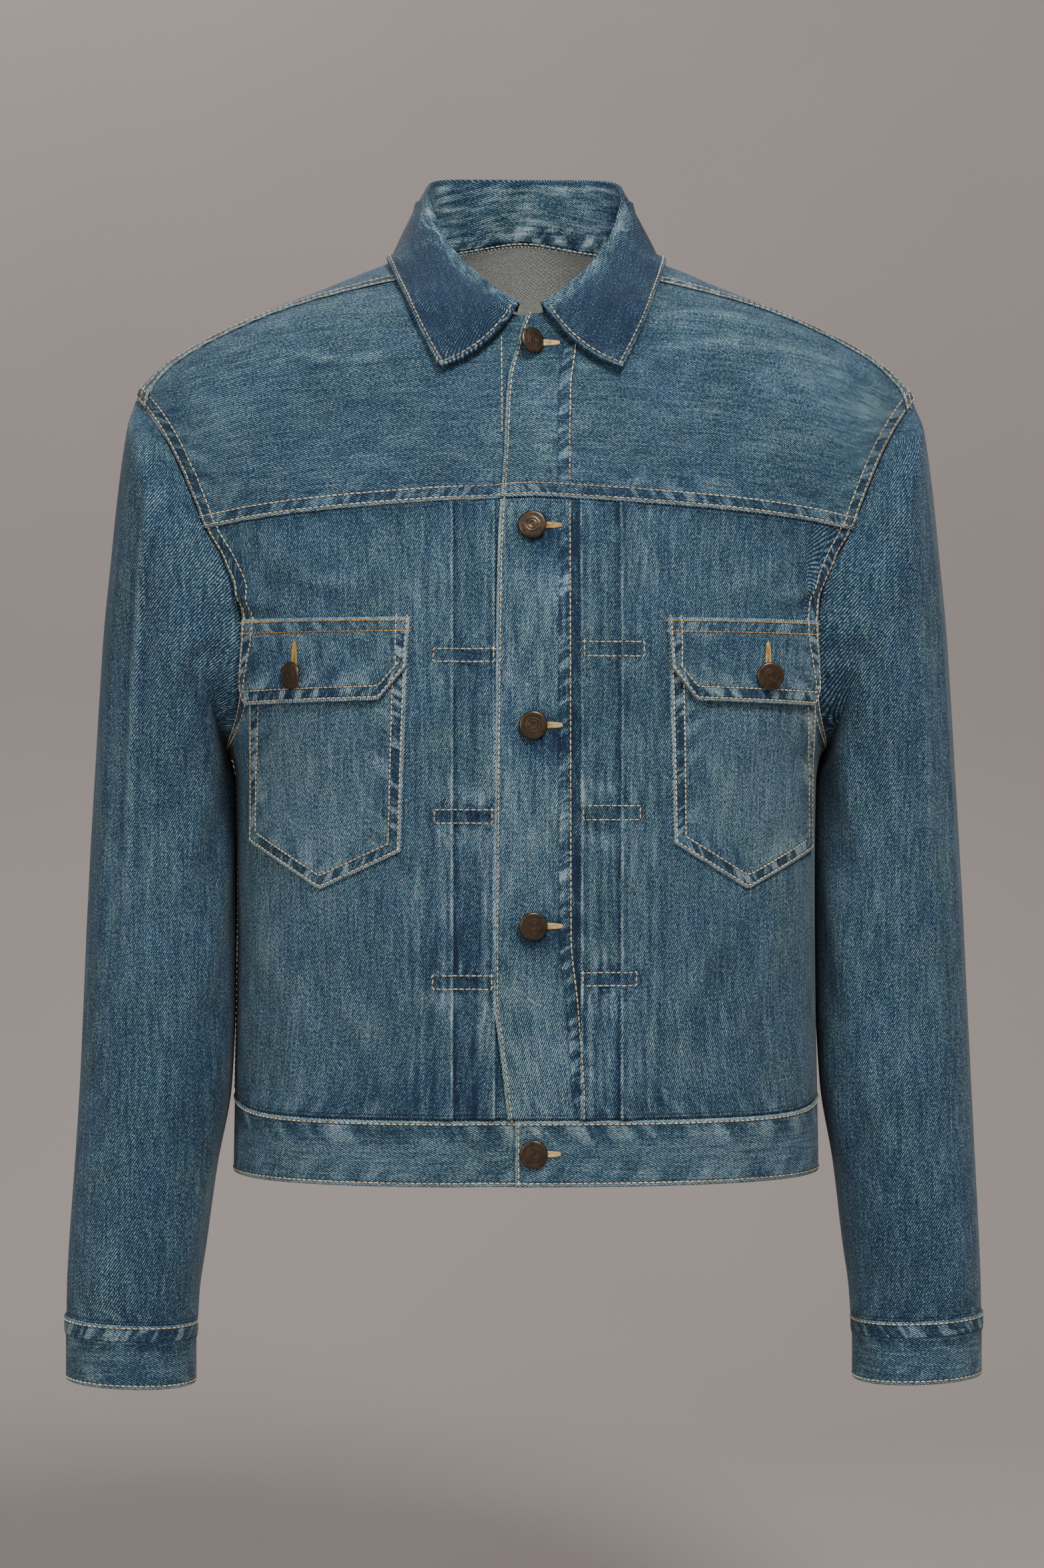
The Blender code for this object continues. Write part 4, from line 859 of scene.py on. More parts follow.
def cloth_object(name, cloth, material, side=1, crossed=False, wrong=1.0):
    """The mesh of a cloth: outer skin, inner skin and the rims between them.

    crossed cloth has its warp running across the piece instead of down it.
    """
    face, back = turned(cloth.face(), side), turned(cloth.back(), side)
    rows, columns = face.shape[:2]
    count = rows * columns
    outer = grid_faces(rows, columns, cloth.ring)
    index = np.arange(count).reshape(rows, columns)
    rims = [rim_faces(index[0], count, cloth.ring), rim_faces(index[-1], count, cloth.ring)[:, ::-1]]
    if not cloth.ring:
        rims.append(rim_faces(index[:, 0], count, False)[:, ::-1])
        rims.append(rim_faces(index[:, -1], count, False))
    faces = np.concatenate([outer, outer[:, ::-1] + count, *rims])
    i, j = rows // 2, columns // 2
    around = np.cross(face[i, j + 1] - face[i, j], face[i + 1, j] - face[i, j])
    if around @ turned(cloth.normal[i, j], side) < 0:
        faces = faces[:, ::-1]
    spots = np.concatenate([face.reshape(-1, 3), back.reshape(-1, 3)])
    mesh = new_mesh(name, spots, faces)
    for key, values in {"tone": cloth.tone, **cloth.calmed()}.items():
        set_values(mesh, key, np.tile(values.ravel(), 2))
    set_values(mesh, "wrong", np.repeat([0.0, wrong], count))
    grain = cloth.grain * [side, 1.0]
    pair = np.tile(grain.reshape(-1, 2), (2, 1))[faces]
    if cloth.ring:
        column = faces % columns
        wrapped = (column.max(axis=1) - column.min(axis=1) > 1)[:, None] & (column == 0)
        pair[wrapped, 0] += side * cloth.round_length
    if crossed:
        pair = np.stack([pair[..., 1], -pair[..., 0]], axis=-1)
    layer = mesh.uv_layers.new(name="cloth")
    layer.data.foreach_set("uv", (pair + cloth.seed).astype(np.float32).ravel())
    mesh.materials.append(material)
    return add_object(name, mesh)


# ---------------------------------------------------------------- relief of the fronts


def lap_lift(x, under):
    return -LAP_DEPTH * ease((LAP_START - x) / (LAP_START - LAP_END)) if under else 0.0 * x


def tack_share(z, side):
    """How close a height is to a box tack, from 0 between tacks to 1 on one."""
    share = np.zeros(np.shape(z))
    for top, bottom, *_ in TACKS[side]:
        middle = (top + bottom) / 2
        share = np.maximum(share, ease(1.35 - np.abs(z - middle) / 0.016))
    return share


def pleat_lift(x, z, side):
    """Rise of each pleat: sharp at its fold and soft behind it, held down by the tacks."""
    lift = np.zeros(np.shape(x))
    for fold in PLEATS[side]:
        lip = np.clip((x - fold) / PLEAT_LIP, 0.0, 1.0)
        behind = 1 - ease((x - fold) / (PLEAT_DEPTH * 1.25))
        lift = np.maximum(lift, PLEAT_RISE * lip * behind)
    swell = 1.0 + 0.28 * (1 - tack_share(z, side))
    return lift * swell * (0.85 + 0.15 * ease((-0.180 - z) / 0.02))


def pleat_tone(x, z, side):
    """Pale worn folds, the painted shadow line under each fold's lip and the painted shade on the cloth in
    front of it, upright streaks.
    """
    tone = 0.10 * np.exp(-(((x - PLEATS[side][1] - PLEAT_DEPTH) / 0.0016) ** 2))
    # worn strengthens the pale rubs and the painted shade alike, more towards the hem.
    worn = 0.8 + 0.5 * ease((-0.370 - z) / 0.06)
    for k, fold in enumerate(PLEATS[side]):
        off = x - fold
        rub = worn * (0.8 + 0.3 * uneven_wave(z, 0.045, 2.0 + k))
        tone = tone + 0.50 * rub * np.exp(-(((off - 0.0009) / 0.0008) ** 2))
        # The next two lines paint shade cast by the pleat on the cloth in front of its fold, and a shadow
        # line under its lip.
        tone = tone - 0.20 * worn * ease(1 + off / 0.0070) * (off < 0)
        tone = tone - 0.15 * np.exp(-(((off + 0.0004) / 0.0005) ** 2))
        tone = tone + 0.13 * rub * np.exp(-(((off - 0.0065) / 0.0016) ** 2))
        tone = tone - 0.08 * worn * np.exp(-(((off - 0.0125) / 0.002) ** 2))
    pleated = ease((x - PLEATS[side][0]) / 0.004) * ease((0.094 - x) / 0.016)
    sway = x + 0.0016 * np.sin(z * 31.0)
    return tone + 0.11 * worn * pleated * uneven_wave(sway, 0.0088, 5.0 + side)


def tack_puckers(x, z, side):
    """Rise and tone of the short upright puckers above and below each box tack."""
    rise = np.zeros(np.shape(x))
    for k, (top, bottom, start, end) in enumerate(TACKS[side]):
        inside = ease((x - start + 0.004) / 0.004) * ease((end + 0.004 - x) / 0.004)
        for edge, way, seed in ((top, 1.0, 1.0), (bottom, -1.0, 2.3)):
            off = (z - edge) * way
            fade = inside * ease(off / 0.002 + 0.5) * np.exp(-np.clip(off, 0.0, None) / 0.013)
            rise = rise + (0.4 + 0.3 * k) * fade * uneven_wave(x + 0.15 * off, 0.0105, seed + k)
    return 0.0015 * rise, 0.36 * rise


def placket_tone(x, z):
    """The placket's pale cloth and the dark strip past its inner stitches."""
    off = x - placket_line_x(z)
    tone = PLACKET_FADE * ease(-off / 0.003)
    return tone - 0.20 * np.exp(-(((off - 0.0022) / 0.0020) ** 2))


def panel_relief(x, z, side):
    return pleat_lift(x, z, side) + crease_relief(x, z, FRONT_CREASES[side, "panel"])[0]


def on_panel(x, z, side, over=0.0):
    """Points over a front panel's face, and the outward normals there."""
    base = on_form(x, z, -1)
    normal = form_normal(base)
    rise = panel_relief(x, z, side) + over
    return turned(base + normal * rise[..., None], side), turned(normal, side)


def band_top(angle):
    rise = np.abs(np.sin(np.radians(angle))) ** BAND_RISE_POWER
    return HEM + BAND_HEIGHT + BAND_SIDE_RISE * rise


# ---------------------------------------------------------------- shapes of the pieces


def front_panel_base(side):
    """Base points of a front panel, from its lapped edge to the side seam and the armhole."""
    low_end = float(band_top(90.0)) + SEAM_GAP / 2
    heights = edged(low_end, FRONT_YOKE_END - SEAM_GAP, inner=(UNDERARM,))
    share = ((heights - heights[0]) / (heights[-1] - heights[0]))[:, None]
    start = len(EDGE_STEPS)
    fixed = [-0.009]
    for fold in PLEATS[side]:
        fixed += [fold + step for step in PLEAT_STEPS]
    lines = stops([*fixed, 0.0860, 0.1835], CELL)
    side_steps = stops([0.0, 0.070], CELL) / 0.070
    side_steps = np.concatenate([side_steps[1:-1], 1 - np.array(EDGE_STEPS[::-1]) / 0.070])
    z = np.repeat(heights[:, None], start + len(lines) + len(side_steps), axis=1)
    for _ in range(SETTLE_STEPS):
        edge_x = -lap_past_centre(z[:, :start])
        near = np.minimum(edge_x + np.array(EDGE_STEPS), -0.0095)
        middle = np.repeat(lines[None], len(heights), axis=0)
        angle = angle_at(np.concatenate([near, middle], axis=1), z[:, : start + len(lines)])
        z_side = z[:, start + len(lines) :]
        above = angle_at(armhole_x(z_side) - SEAM_GAP / 2, z_side)
        end = np.where(z_side > UNDERARM, above, 90.0 - 0.05)
        last = angle_at(np.full_like(z_side, lines[-1]), z_side)
        angle = np.concatenate([angle, blend(last, end, side_steps)], axis=1)
        x = round_form(angle, z)[..., 0]
        low = band_top(angle) + SEAM_GAP / 2
        high = front_seam_z(np.abs(x)) - SEAM_GAP / 2
        z = blend(low, high, share)
    return round_form(angle, z)


def front_yoke_base():
    """Base points of a front yoke between neck, shoulder, armhole and its lower seam."""
    edge_x = -float(lap_past_centre(FRONT_EDGE[1][0]))
    neck_x, neck_y = neck_plan(np.arange(3.0, SHOULDER_AT_NECK + 0.1, 1.5))
    front_y = float(neck_plan(0.0)[1])
    neck = plan_pairs(np.append(edge_x, neck_x), np.append(front_y, neck_y))
    x, y = shoulder_plan(np.linspace(0.0, 1.0, 60)[1:])
    top = np.concatenate([neck, plan_pairs(x, y - SEAM_GAP / 2)])
    corner = len(neck) - 1
    shares = along(top)
    length = length_of(over_shoulder(top))
    top = resampled(top, edged(0.0, length, inner=(shares[corner] * length,)) / length)
    heights = np.linspace(FRONT_YOKE_END, SHOULDER_SEAM_END, 50)
    right = pairs_at(armhole_x(heights) - SEAM_GAP / 2, heights, -1)
    length = length_of(over_shoulder(right)) + 0.02
    right = resampled(right, edged(0.0, length) / length)
    share = along(top)
    start = -float(lap_past_centre(float(front_seam_z(0.0))))
    x = blend(start, right[0, 0], share)
    bottom = pairs_at(x, front_seam_z(np.abs(x)) + SEAM_GAP / 2, -1)
    reach = blend(bottom[0, 1], top[0, 1], along(right))
    z = ridge_height(0.0) - reach * reach
    left = np.stack([-lap_past_centre(z), reach], axis=-1)
    return over_shoulder(coons(bottom, top, left, right))


def back_yoke_base():
    """Base points of the back yoke, which folds over both shoulders."""
    x, y = shoulder_plan(np.linspace(1.0, 0.0, 60)[:-1])
    shoulder = plan_pairs(x, y + SEAM_GAP / 2)
    neck = plan_pairs(*neck_plan(np.arange(SHOULDER_AT_NECK, 180.1, 2.0)))
    half = np.concatenate([shoulder, neck])
    length = length_of(over_shoulder(half))
    corner = along(half)[len(shoulder)] * length
    steps = [0.0, *EDGE_STEPS[1:], corner, length]
    half = resampled(half, stops(steps, CELL) / length)
    top = np.concatenate([half, (half * [-1, 1])[-2::-1]])
    behind = np.linspace(BACK_YOKE_END, SHOULDER_TIP, 40)
    before = np.linspace(SHOULDER_TIP, SHOULDER_SEAM_END, 12)[1:]
    left = np.concatenate(
        [
            pairs_at(armhole_x(behind) - SEAM_GAP / 2, behind, 1),
            pairs_at(armhole_x(before) - SEAM_GAP / 2, before, -1),
        ]
    )
    length = length_of(over_shoulder(left)) + 0.03
    left = resampled(left, edged(0.0, length) / length)
    half_x = left[0, 0] * (1 - np.linspace(0.0, 1.0, len(half)))
    half_bottom = pairs_at(half_x, back_seam_z(half_x) + SEAM_GAP / 2, 1)
    bottom = np.concatenate([half_bottom, (half_bottom * [-1, 1])[-2::-1]])
    return over_shoulder(coons(bottom, top, left.copy(), left * [-1, 1]))


def back_panel_base():
    low_end = float(band_top(90.0)) + SEAM_GAP / 2
    heights = edged(low_end, BACK_YOKE_END - SEAM_GAP / 2, inner=(UNDERARM,))
    share = ((heights - heights[0]) / (heights[-1] - heights[0]))[:, None]
    half = edged(0.0, 0.62) / 0.62
    z = np.repeat(heights[:, None], len(half), axis=1)
    for _ in range(SETTLE_STEPS):
        above = 180.0 - angle_at(armhole_x(z) - SEAM_GAP / 2, z)
        start = np.where(z > UNDERARM, above, 90.0 + 0.05)
        angle = blend(start, 360.0 - start, half)
        x = round_form(angle, z)[..., 0]
        low = band_top(angle) + SEAM_GAP / 2
        high = back_seam_z(np.abs(x)) - SEAM_GAP / 2
        z = blend(low, high, share)
    return round_form(angle, z)


def superellipse(angle, power):
    s, c = np.sin(np.radians(angle)), np.cos(np.radians(angle))
    reach = (np.abs(s) ** power + np.abs(c) ** power) ** (-1 / power)
    return s * reach, c * reach


def sleeve_base(side):
    """Base points of a sleeve, in rings from the armhole down; also the ring's angles."""
    angle = SLEEVE_SEAM_ANGLE + np.arange(SLEEVE_COLUMNS) * 360.0 / SLEEVE_COLUMNS
    drop = SHOULDER_TIP - UNDERARM
    z = SHOULDER_TIP - drop * (1 - np.cos(np.radians(angle))) / 2
    front = np.where(angle % 360.0 < 180.0, -1.0, 1.0)
    rings = [on_form(armhole_x(z) + SEAM_GAP / 2, z, front)]
    s, c = superellipse(angle, SLEEVE_ROUNDNESS)
    for inner_x, inner_z, outer_x, outer_z, before, behind, centre_y in SLEEVE:
        centre_z = (inner_z + outer_z) / 2
        swing = SLEEVE_SWING[side] * ease((SWING_TOP - centre_z) / (SWING_TOP - SWING_END))
        x = (inner_x + outer_x) / 2 + swing + c * (outer_x - inner_x) / 2
        y = centre_y - s * np.where(s > 0, before, behind)
        rings.append(points(x, y, centre_z + c * (outer_z - inner_z) / 2))
    rings = np.array(rings)
    steps = np.linalg.norm(np.diff(rings, axis=0), axis=-1).mean(axis=1)
    at = np.concatenate([[0.0], np.cumsum(steps)])
    return smooth_rows(at, rings, edged(0.0, at[-1], inner=tuple(at[1:3]))), angle


def ring_normals(base, ring=True):
    """Outward normals of a grid, worked out from its own points."""
    down = np.gradient(base, axis=0)
    if ring:
        around = np.roll(base, -1, axis=1) - np.roll(base, 1, axis=1)
    else:
        around = np.gradient(base, axis=1)
    return unit(np.cross(around, down))


def cuff_ring(angle, drop, radius_x, radius_y, side):
    s, c = superellipse(angle, SLEEVE_ROUNDNESS)
    x, y, z = CUFF_CENTRE
    x += SLEEVE_SWING[side]
    return points(x + radius_x * c, y - radius_y * s, z - drop + CUFF_TILT * c)


def waistband_base():
    z = float(band_top(0.0))
    start = float(angle_at(BAND_UNDER_END, z))
    end = float(angle_at(BAND_OVER_END, z)) - 360.0
    turns = np.linspace(start, end, 721)
    ring = round_form(turns, np.full_like(turns, z))
    length = length_of(ring)
    angle = np.interp(edged(0.0, length) / length, along(ring), turns)
    heights = edged(0.0, BAND_HEIGHT - SEAM_GAP, cell=0.0026) / (BAND_HEIGHT - SEAM_GAP)
    z = blend(HEM, band_top(angle)[None] - SEAM_GAP / 2, heights[:, None])
    return round_form(np.repeat(angle[None], len(heights), axis=0), z), angle


def collar_sections():
    """Middle points of the collar's sheet: a row for each angle, from seam over fold to edge."""
    angles = stops([row[0] for row in COLLAR], COLLAR_ANGLE_STEP)
    start = angles[0] + np.array([0.0, 0.35, 0.8, 1.3])
    angles = np.concatenate([start, angles[1:]])
    table = smooth_rows([row[0] for row in COLLAR], [row[1:] for row in COLLAR], angles)
    fold, edge, swing = table[:, 0:3], table[:, 3:6], table[:, 6:9]
    x, y = neck_plan(angles)
    seam = points(x, y, height_over(x, y))
    seam = seam - form_normal(seam) * WALL / 2
    seam = seam + unit(fold - seam) * SEAM_GAP
    up, down = unit(fold - seam), unit(edge - fold)
    crown = unit(up - down)
    out = up + down
    out = unit(out - crown * np.sum(out * crown, axis=-1, keepdims=True))
    centre = fold - crown * COLLAR_FOLD_RADIUS
    stand_top = centre - out * COLLAR_FOLD_RADIUS
    stand = blend(seam[:, None], stand_top[:, None], np.linspace(0, 1, 15)[:-1, None])
    turn = np.linspace(0, math.pi, 9)[None, :, None]
    bend = centre[:, None] + COLLAR_FOLD_RADIUS * (
        crown[:, None] * np.sin(turn) - out[:, None] * np.cos(turn)
    )
    top = bend[:, -1]
    middle = (top + edge) / 2 + swing
    length = float(np.linalg.norm(edge - top, axis=-1).mean())
    share = (edged(0.0, length) / length)[len(EDGE_STEPS) - 1 :, None]
    share = np.concatenate([stops([0.0, float(share[0, 0])], CELL / length)[1:-1, None], share])
    leaf = blend(
        blend(top[:, None], middle[:, None], share), blend(middle[:, None], edge[:, None], share), share
    )
    leaf = clear_of_form(leaf, LEAF_CLEARANCE)
    half = np.concatenate([stand, bend, leaf], axis=1)
    parts = (stand.shape[1], bend.shape[1], leaf.shape[1])
    return np.concatenate([half, half[-2::-1] * [-1, 1, 1]]), parts


# ---------------------------------------------------------------- node groups and materials


def link(tree, start, end):
    tree.links.new(start, end)


def add_node(tree, kind, **settings):
    node = tree.nodes.new(kind)
    for key, value in settings.items():
        setattr(node, key, value)
    return node


def math_node(tree, operation, *values, clamp=False):
    """A Math node; each value is a number or the socket that feeds it."""
    node = add_node(tree, "ShaderNodeMath", operation=operation, use_clamp=clamp)
    for socket, value in zip(node.inputs, values):
        if isinstance(value, (int, float)):
            socket.default_value = value
        else:
            link(tree, value, socket)
    return node.outputs[0]


def group(name, inputs, outputs):
    """A new shader node group with its ends; inputs are (name, type, default)."""
    tree = bpy.data.node_groups.new(name, "ShaderNodeTree")
    for label, kind, default in inputs:
        socket = tree.interface.new_socket(label, in_out="INPUT", socket_type=kind)
        if default is not None:
            socket.default_value = default
    for label, kind in outputs:
        tree.interface.new_socket(label, in_out="OUTPUT", socket_type=kind)
    return tree, tree.nodes.new("NodeGroupInput"), tree.nodes.new("NodeGroupOutput")


def scaled_noise(tree, vector, scale, detail, roughness=0.55):
    """Noise on a vector stretched by a scale for each axis."""
    stretch = add_node(tree, "ShaderNodeVectorMath", operation="MULTIPLY")
    stretch.inputs[1].default_value = scale
    link(tree, vector, stretch.inputs[0])
    noise = add_node(tree, "ShaderNodeTexNoise", noise_dimensions="3D")
    noise.inputs["Scale"].default_value = 1.0
    noise.inputs["Detail"].default_value = detail
    noise.inputs["Roughness"].default_value = roughness
    link(tree, stretch.outputs[0], noise.inputs["Vector"])
    return noise.outputs["Fac"]


def smooth_step(tree, value, low, high):
    """0 at low, 1 at high and a smooth step between; low may be the larger one."""
    node = add_node(tree, "ShaderNodeMapRange", interpolation_type="SMOOTHSTEP")
    link(tree, value, node.inputs["Value"])
    node.inputs["From Min"].default_value = low
    node.inputs["From Max"].default_value = high
    return node.outputs["Result"]


def product(tree, *values):
    total = values[0]
    for value in values[1:]:
        total = math_node(tree, "MULTIPLY", total, value)
    return total


def total_of(tree, *values):
    total = values[0]
    for value in values[1:]:
        total = math_node(tree, "ADD", total, value)
    return total


def weave_group():
    """Twill weave: slanted ribs broken into short threads, and flecks of uneven yarn."""
    tree, start, end = group(
        "Twill Weave",
        [
            ("Vector", "NodeSocketVector", None),
            ("Slant", "NodeSocketFloat", math.radians(TWILL_SLANT)),
            ("Ribs per Metre", "NodeSocketFloat", 810.0),
        ],
        [
            ("Thread", "NodeSocketFloat"),
            ("Rib", "NodeSocketFloat"),
            ("Height", "NodeSocketFloat"),
        ],
    )
    turn = add_node(tree, "ShaderNodeVectorRotate", rotation_type="Z_AXIS", invert=True)
    link(tree, start.outputs["Vector"], turn.inputs["Vector"])
    link(tree, start.outputs["Slant"], turn.inputs["Angle"])
    split = add_node(tree, "ShaderNodeSeparateXYZ")
    link(tree, turn.outputs[0], split.inputs[0])
    sway = scaled_noise(tree, turn.outputs[0], (60.0, 200.0, 1.0), 2.0)
    across = math_node(tree, "MULTIPLY_ADD", sway, 0.0006, split.outputs["Y"])
    phase = math_node(tree, "MULTIPLY", across, start.outputs["Ribs per Metre"])
    rib = math_node(tree, "SINE", math_node(tree, "MULTIPLY", phase, 2 * math.pi))
    dash = scaled_noise(tree, turn.outputs[0], (480.0, 1100.0, 1.0), 1.0)
    grain = scaled_noise(tree, start.outputs["Vector"], (1900.0, 1300.0, 1.0), 0.0)
    slub = scaled_noise(tree, start.outputs["Vector"], (760.0, 34.0, 1.0), 1.0)
    broken = math_node(tree, "MULTIPLY_ADD", dash, 3.8, -1.9)
    ribbed = math_node(tree, "MULTIPLY_ADD", rib, 1.0, broken)
    yarn = total_of(
        tree,
        math_node(tree, "MULTIPLY_ADD", grain, 3.4, -1.7),
        math_node(tree, "MULTIPLY_ADD", slub, 1.6, -0.8),
    )
    total = math_node(tree, "ADD", ribbed, yarn)
    link(tree, total, end.inputs["Thread"])
    link(tree, math_node(tree, "MULTIPLY_ADD", broken, 0.35, rib), end.inputs["Rib"])
    link(tree, math_node(tree, "MULTIPLY_ADD", total, 0.3, 0.5), end.inputs["Height"])
    return tree


def wash_group():
    """Uneven fading from washing: broad clouds, blotches and streaks along the warp."""
    tree, start, end = group(
        "Wash",
        [("Vector", "NodeSocketVector", None), ("Cloth", "NodeSocketVector", None)],
        [
            ("Fade", "NodeSocketFloat"),
            ("Green", "NodeSocketFloat"),
            ("Streak", "NodeSocketFloat"),
        ],
    )
    clouds = scaled_noise(tree, start.outputs["Vector"], (11.0, 11.0, 8.0), 3.0)
    blotches = scaled_noise(tree, start.outputs["Vector"], (75.0, 75.0, 50.0), 4.0, 0.62)
    streaks = scaled_noise(tree, start.outputs["Cloth"], (190.0, 22.0, 1.0), 3.0)
    total = total_of(
        tree,
        math_node(tree, "MULTIPLY_ADD", clouds, 0.8, -0.4),
        math_node(tree, "MULTIPLY_ADD", blotches, 0.9, -0.45),
        math_node(tree, "MULTIPLY_ADD", streaks, 0.9, -0.45),
    )
    link(tree, total, end.inputs["Fade"])
    green = scaled_noise(tree, start.outputs["Vector"], (26.0, 26.0, 26.0), 3.0)
    link(tree, green, end.inputs["Green"])
    rubbed = scaled_noise(tree, start.outputs["Cloth"], (240.0, 45.0, 1.0), 3.0, 0.6)
    link(tree, math_node(tree, "MULTIPLY_ADD", rubbed, 4.4, -1.2), end.inputs["Streak"])
    return tree


def seam_wear_and_shade_group():
    """Wear and painted shade along a sewn edge: pale fold, a painted shadow line at the very edge, puckers
    between the stitch lines and beside them, painted shade in the stitch grooves.
    """
    labels = ("Gap", "Past", "Run", "Fold", "Rope")
    tree, start, end = group(
        "Seam Wear",
        [(label, "NodeSocketFloat", 0.0) for label in labels],
        [("Tone", "NodeSocketFloat"), ("Height", "NodeSocketFloat")],
    )
    gap, past, run, fold, rope = (start.outputs[label] for label in labels)
    place = tree.nodes.new("ShaderNodeCombineXYZ")
    link(tree, math_node(tree, "MULTIPLY_ADD", gap, 0.6, run), place.inputs["X"])
    link(tree, gap, place.inputs["Y"])
    spread = smooth_step(tree, scaled_noise(tree, place.outputs[0], (150.0, 40.0, 1.0), 3.0), 0.42, 0.62)
    long = smooth_step(tree, scaled_noise(tree, place.outputs[0], (62.0, 22.0, 1.0), 2.0), 0.40, 0.66)
    rub = scaled_noise(tree, place.outputs[0], (160.0, 500.0, 1.0), 2.0)
    edge = smooth_step(tree, gap, 0.0025, 0.0017)
    # A dark line at the very edge of a folded edge: painted shadow where it meets the cloth under it.
    painted_edge_shadow = smooth_step(tree, gap, 0.0008, 0.0002)
    window = product(tree, smooth_step(tree, gap, 0.0024, 0.0034), smooth_step(tree, past, 0.0002, -0.0006))
    halo = product(tree, smooth_step(tree, past, -0.0002, 0.0012), smooth_step(tree, past, 0.020, 0.002))
    beside_line = math_node(tree, "ABSOLUTE", math_node(tree, "SUBTRACT", gap, FIRST_GROOVE))
    # groove darkens the tone along each stitch line as painted shade in the groove; its height is the real
    # groove.
    groove = math_node(
        tree,
        "MAXIMUM",
        smooth_step(tree, math_node(tree, "ABSOLUTE", past), 0.0011, 0.0003),
        smooth_step(tree, beside_line, 0.0009, 0.0002),
    )
    tone = total_of(
        tree,
        product(tree, edge, fold, math_node(tree, "MULTIPLY_ADD", rub, 2.0, -0.15)),
        # painted shadow line at the very edge
        product(tree, painted_edge_shadow, fold, -0.7),
        product(tree, window, rope, math_node(tree, "MULTIPLY_ADD", spread, 0.46, -0.25)),
        product(tree, halo, rope, math_node(tree, "MULTIPLY_ADD", long, 0.22, -0.10)),
        product(tree, groove, rope, -0.13),
    )
    link(tree, tone, end.inputs["Tone"])
    height = total_of(
        tree,
        product(tree, window, rope, spread, 0.00045),
        product(tree, halo, rope, long, 0.00045),
        product(tree, groove, rope, -0.0002),
    )
    link(tree, height, end.inputs["Height"])
    return tree


def group_node(tree, name, builder):
    node = tree.nodes.new("ShaderNodeGroup")
    node.node_tree = bpy.data.node_groups.get(name) or builder()
    return node


def color_ramp(tree, value, colors):
    """A ramp through (place, colour) pairs."""
    ramp = tree.nodes.new("ShaderNodeValToRGB").color_ramp
    node = tree.nodes[-1]
    while len(ramp.elements) > 1:
        ramp.elements.remove(ramp.elements[-1])
    ramp.elements[0].position, ramp.elements[0].color = colors[0][0], (*colors[0][1], 1.0)
    for place, color in colors[1:]:
        ramp.elements.new(place).color = (*color, 1.0)
    link(tree, value, node.inputs["Fac"])
    return node.outputs["Color"]


def mix_colors(tree, share, first, second):
    node = add_node(tree, "ShaderNodeMix", data_type="RGBA")
    for socket, value in zip((node.inputs[0], node.inputs[6], node.inputs[7]), (share, first, second)):
        if isinstance(value, bpy.types.NodeSocket):
            link(tree, value, socket)
        else:
            socket.default_value = value
    return node.outputs[2]


def new_material(name):
    material = bpy.data.materials.get(name)
    if material:
        return material, None, None
    material = bpy.data.materials.new(name)
    material.use_nodes = True
    tree = material.node_tree
    return material, tree, tree.nodes["Principled BSDF"]


def denim(name, shade=0.0):
    """Washed denim: indigo to pale by weave, wash and wear, with the painted shade that the pieces' tone and
    seams carry; grey on its wrong side. shade moves the whole piece darker or lighter, one value for each
    piece; on the collar and the sleeves it is painted shade.
    """
    material, tree, shader = new_material(name)
    if tree is None:
        return material
    look = bpy.context.scene.jacket_denim
    cloth = add_node(tree, "ShaderNodeUVMap", uv_map="cloth")
    place = tree.nodes.new("ShaderNodeTexCoord")
    value = {
        key: add_node(tree, "ShaderNodeAttribute", attribute_name=key).outputs["Fac"]
        for key in ("tone", "wrong", "gap", "past", "run", "fold", "rope")
    }
    weave = group_node(tree, "Twill Weave", weave_group)
    link(tree, cloth.outputs[0], weave.inputs["Vector"])
    wash = group_node(tree, "Wash", wash_group)
    link(tree, place.outputs["Object"], wash.inputs["Vector"])
    link(tree, cloth.outputs[0], wash.inputs["Cloth"])
    seams = group_node(tree, "Seam Wear", seam_wear_and_shade_group)
    for label in ("Gap", "Past", "Run", "Fold", "Rope"):
        link(tree, value[label.lower()], seams.inputs[label])
    total = total_of(
        tree,
        math_node(tree, "MULTIPLY", weave.outputs["Thread"], look.weave_contrast),
        math_node(tree, "MULTIPLY_ADD", wash.outputs["Fade"], look.wash_contrast, look.fade + shade),
        math_node(tree, "MULTIPLY", value["tone"], wash.outputs["Streak"]),
        seams.outputs["Tone"],
    )
    shades = [tuple(look.dark), tuple(look.deep), tuple(look.middle), tuple(look.pale), tuple(look.worn)]
    face = color_ramp(tree, total, list(zip((0.0, 0.25, 0.5, 0.75, 1.0), shades)))
    green = math_node(tree, "MULTIPLY_ADD", wash.outputs["Green"], 1.8, -0.60, clamp=True)
    hue = mix_colors(tree, green, (0.92, 0.96, 1.10, 1.0), (1.02, 1.03, 0.90, 1.0))
    tint = add_node(tree, "ShaderNodeMix", data_type="RGBA", blend_type="MULTIPLY")
    tint.inputs[0].default_value = 1.0
    link(tree, face, tint.inputs[6])
    link(tree, hue, tint.inputs[7])
    shades = [tuple(look.wrong_dark), tuple(look.wrong_middle), tuple(look.wrong_pale)]
    thread = math_node(tree, "MULTIPLY_ADD", weave.outputs["Rib"], 1.7, 0.50)
    inside = color_ramp(tree, thread, list(zip((0.0, 0.5, 1.0), shades)))
    link(tree, mix_colors(tree, value["wrong"], tint.outputs[2], inside), shader.inputs["Base Color"])
    bump = tree.nodes.new("ShaderNodeBump")
    bump.inputs["Strength"].default_value = 0.8
    bump.inputs["Distance"].default_value = 1.0
    height = math_node(tree, "MULTIPLY_ADD", weave.outputs["Height"], 0.00016, seams.outputs["Height"])
    link(tree, height, bump.inputs["Height"])
    link(tree, bump.outputs[0], shader.inputs["Normal"])
    shader.inputs["Roughness"].default_value = 0.88
    shader.inputs["Specular IOR Level"].default_value = 0.25
    shader.inputs["Sheen Weight"].default_value = 0.10
    shader.inputs["Sheen Roughness"].default_value = 0.5
    return material


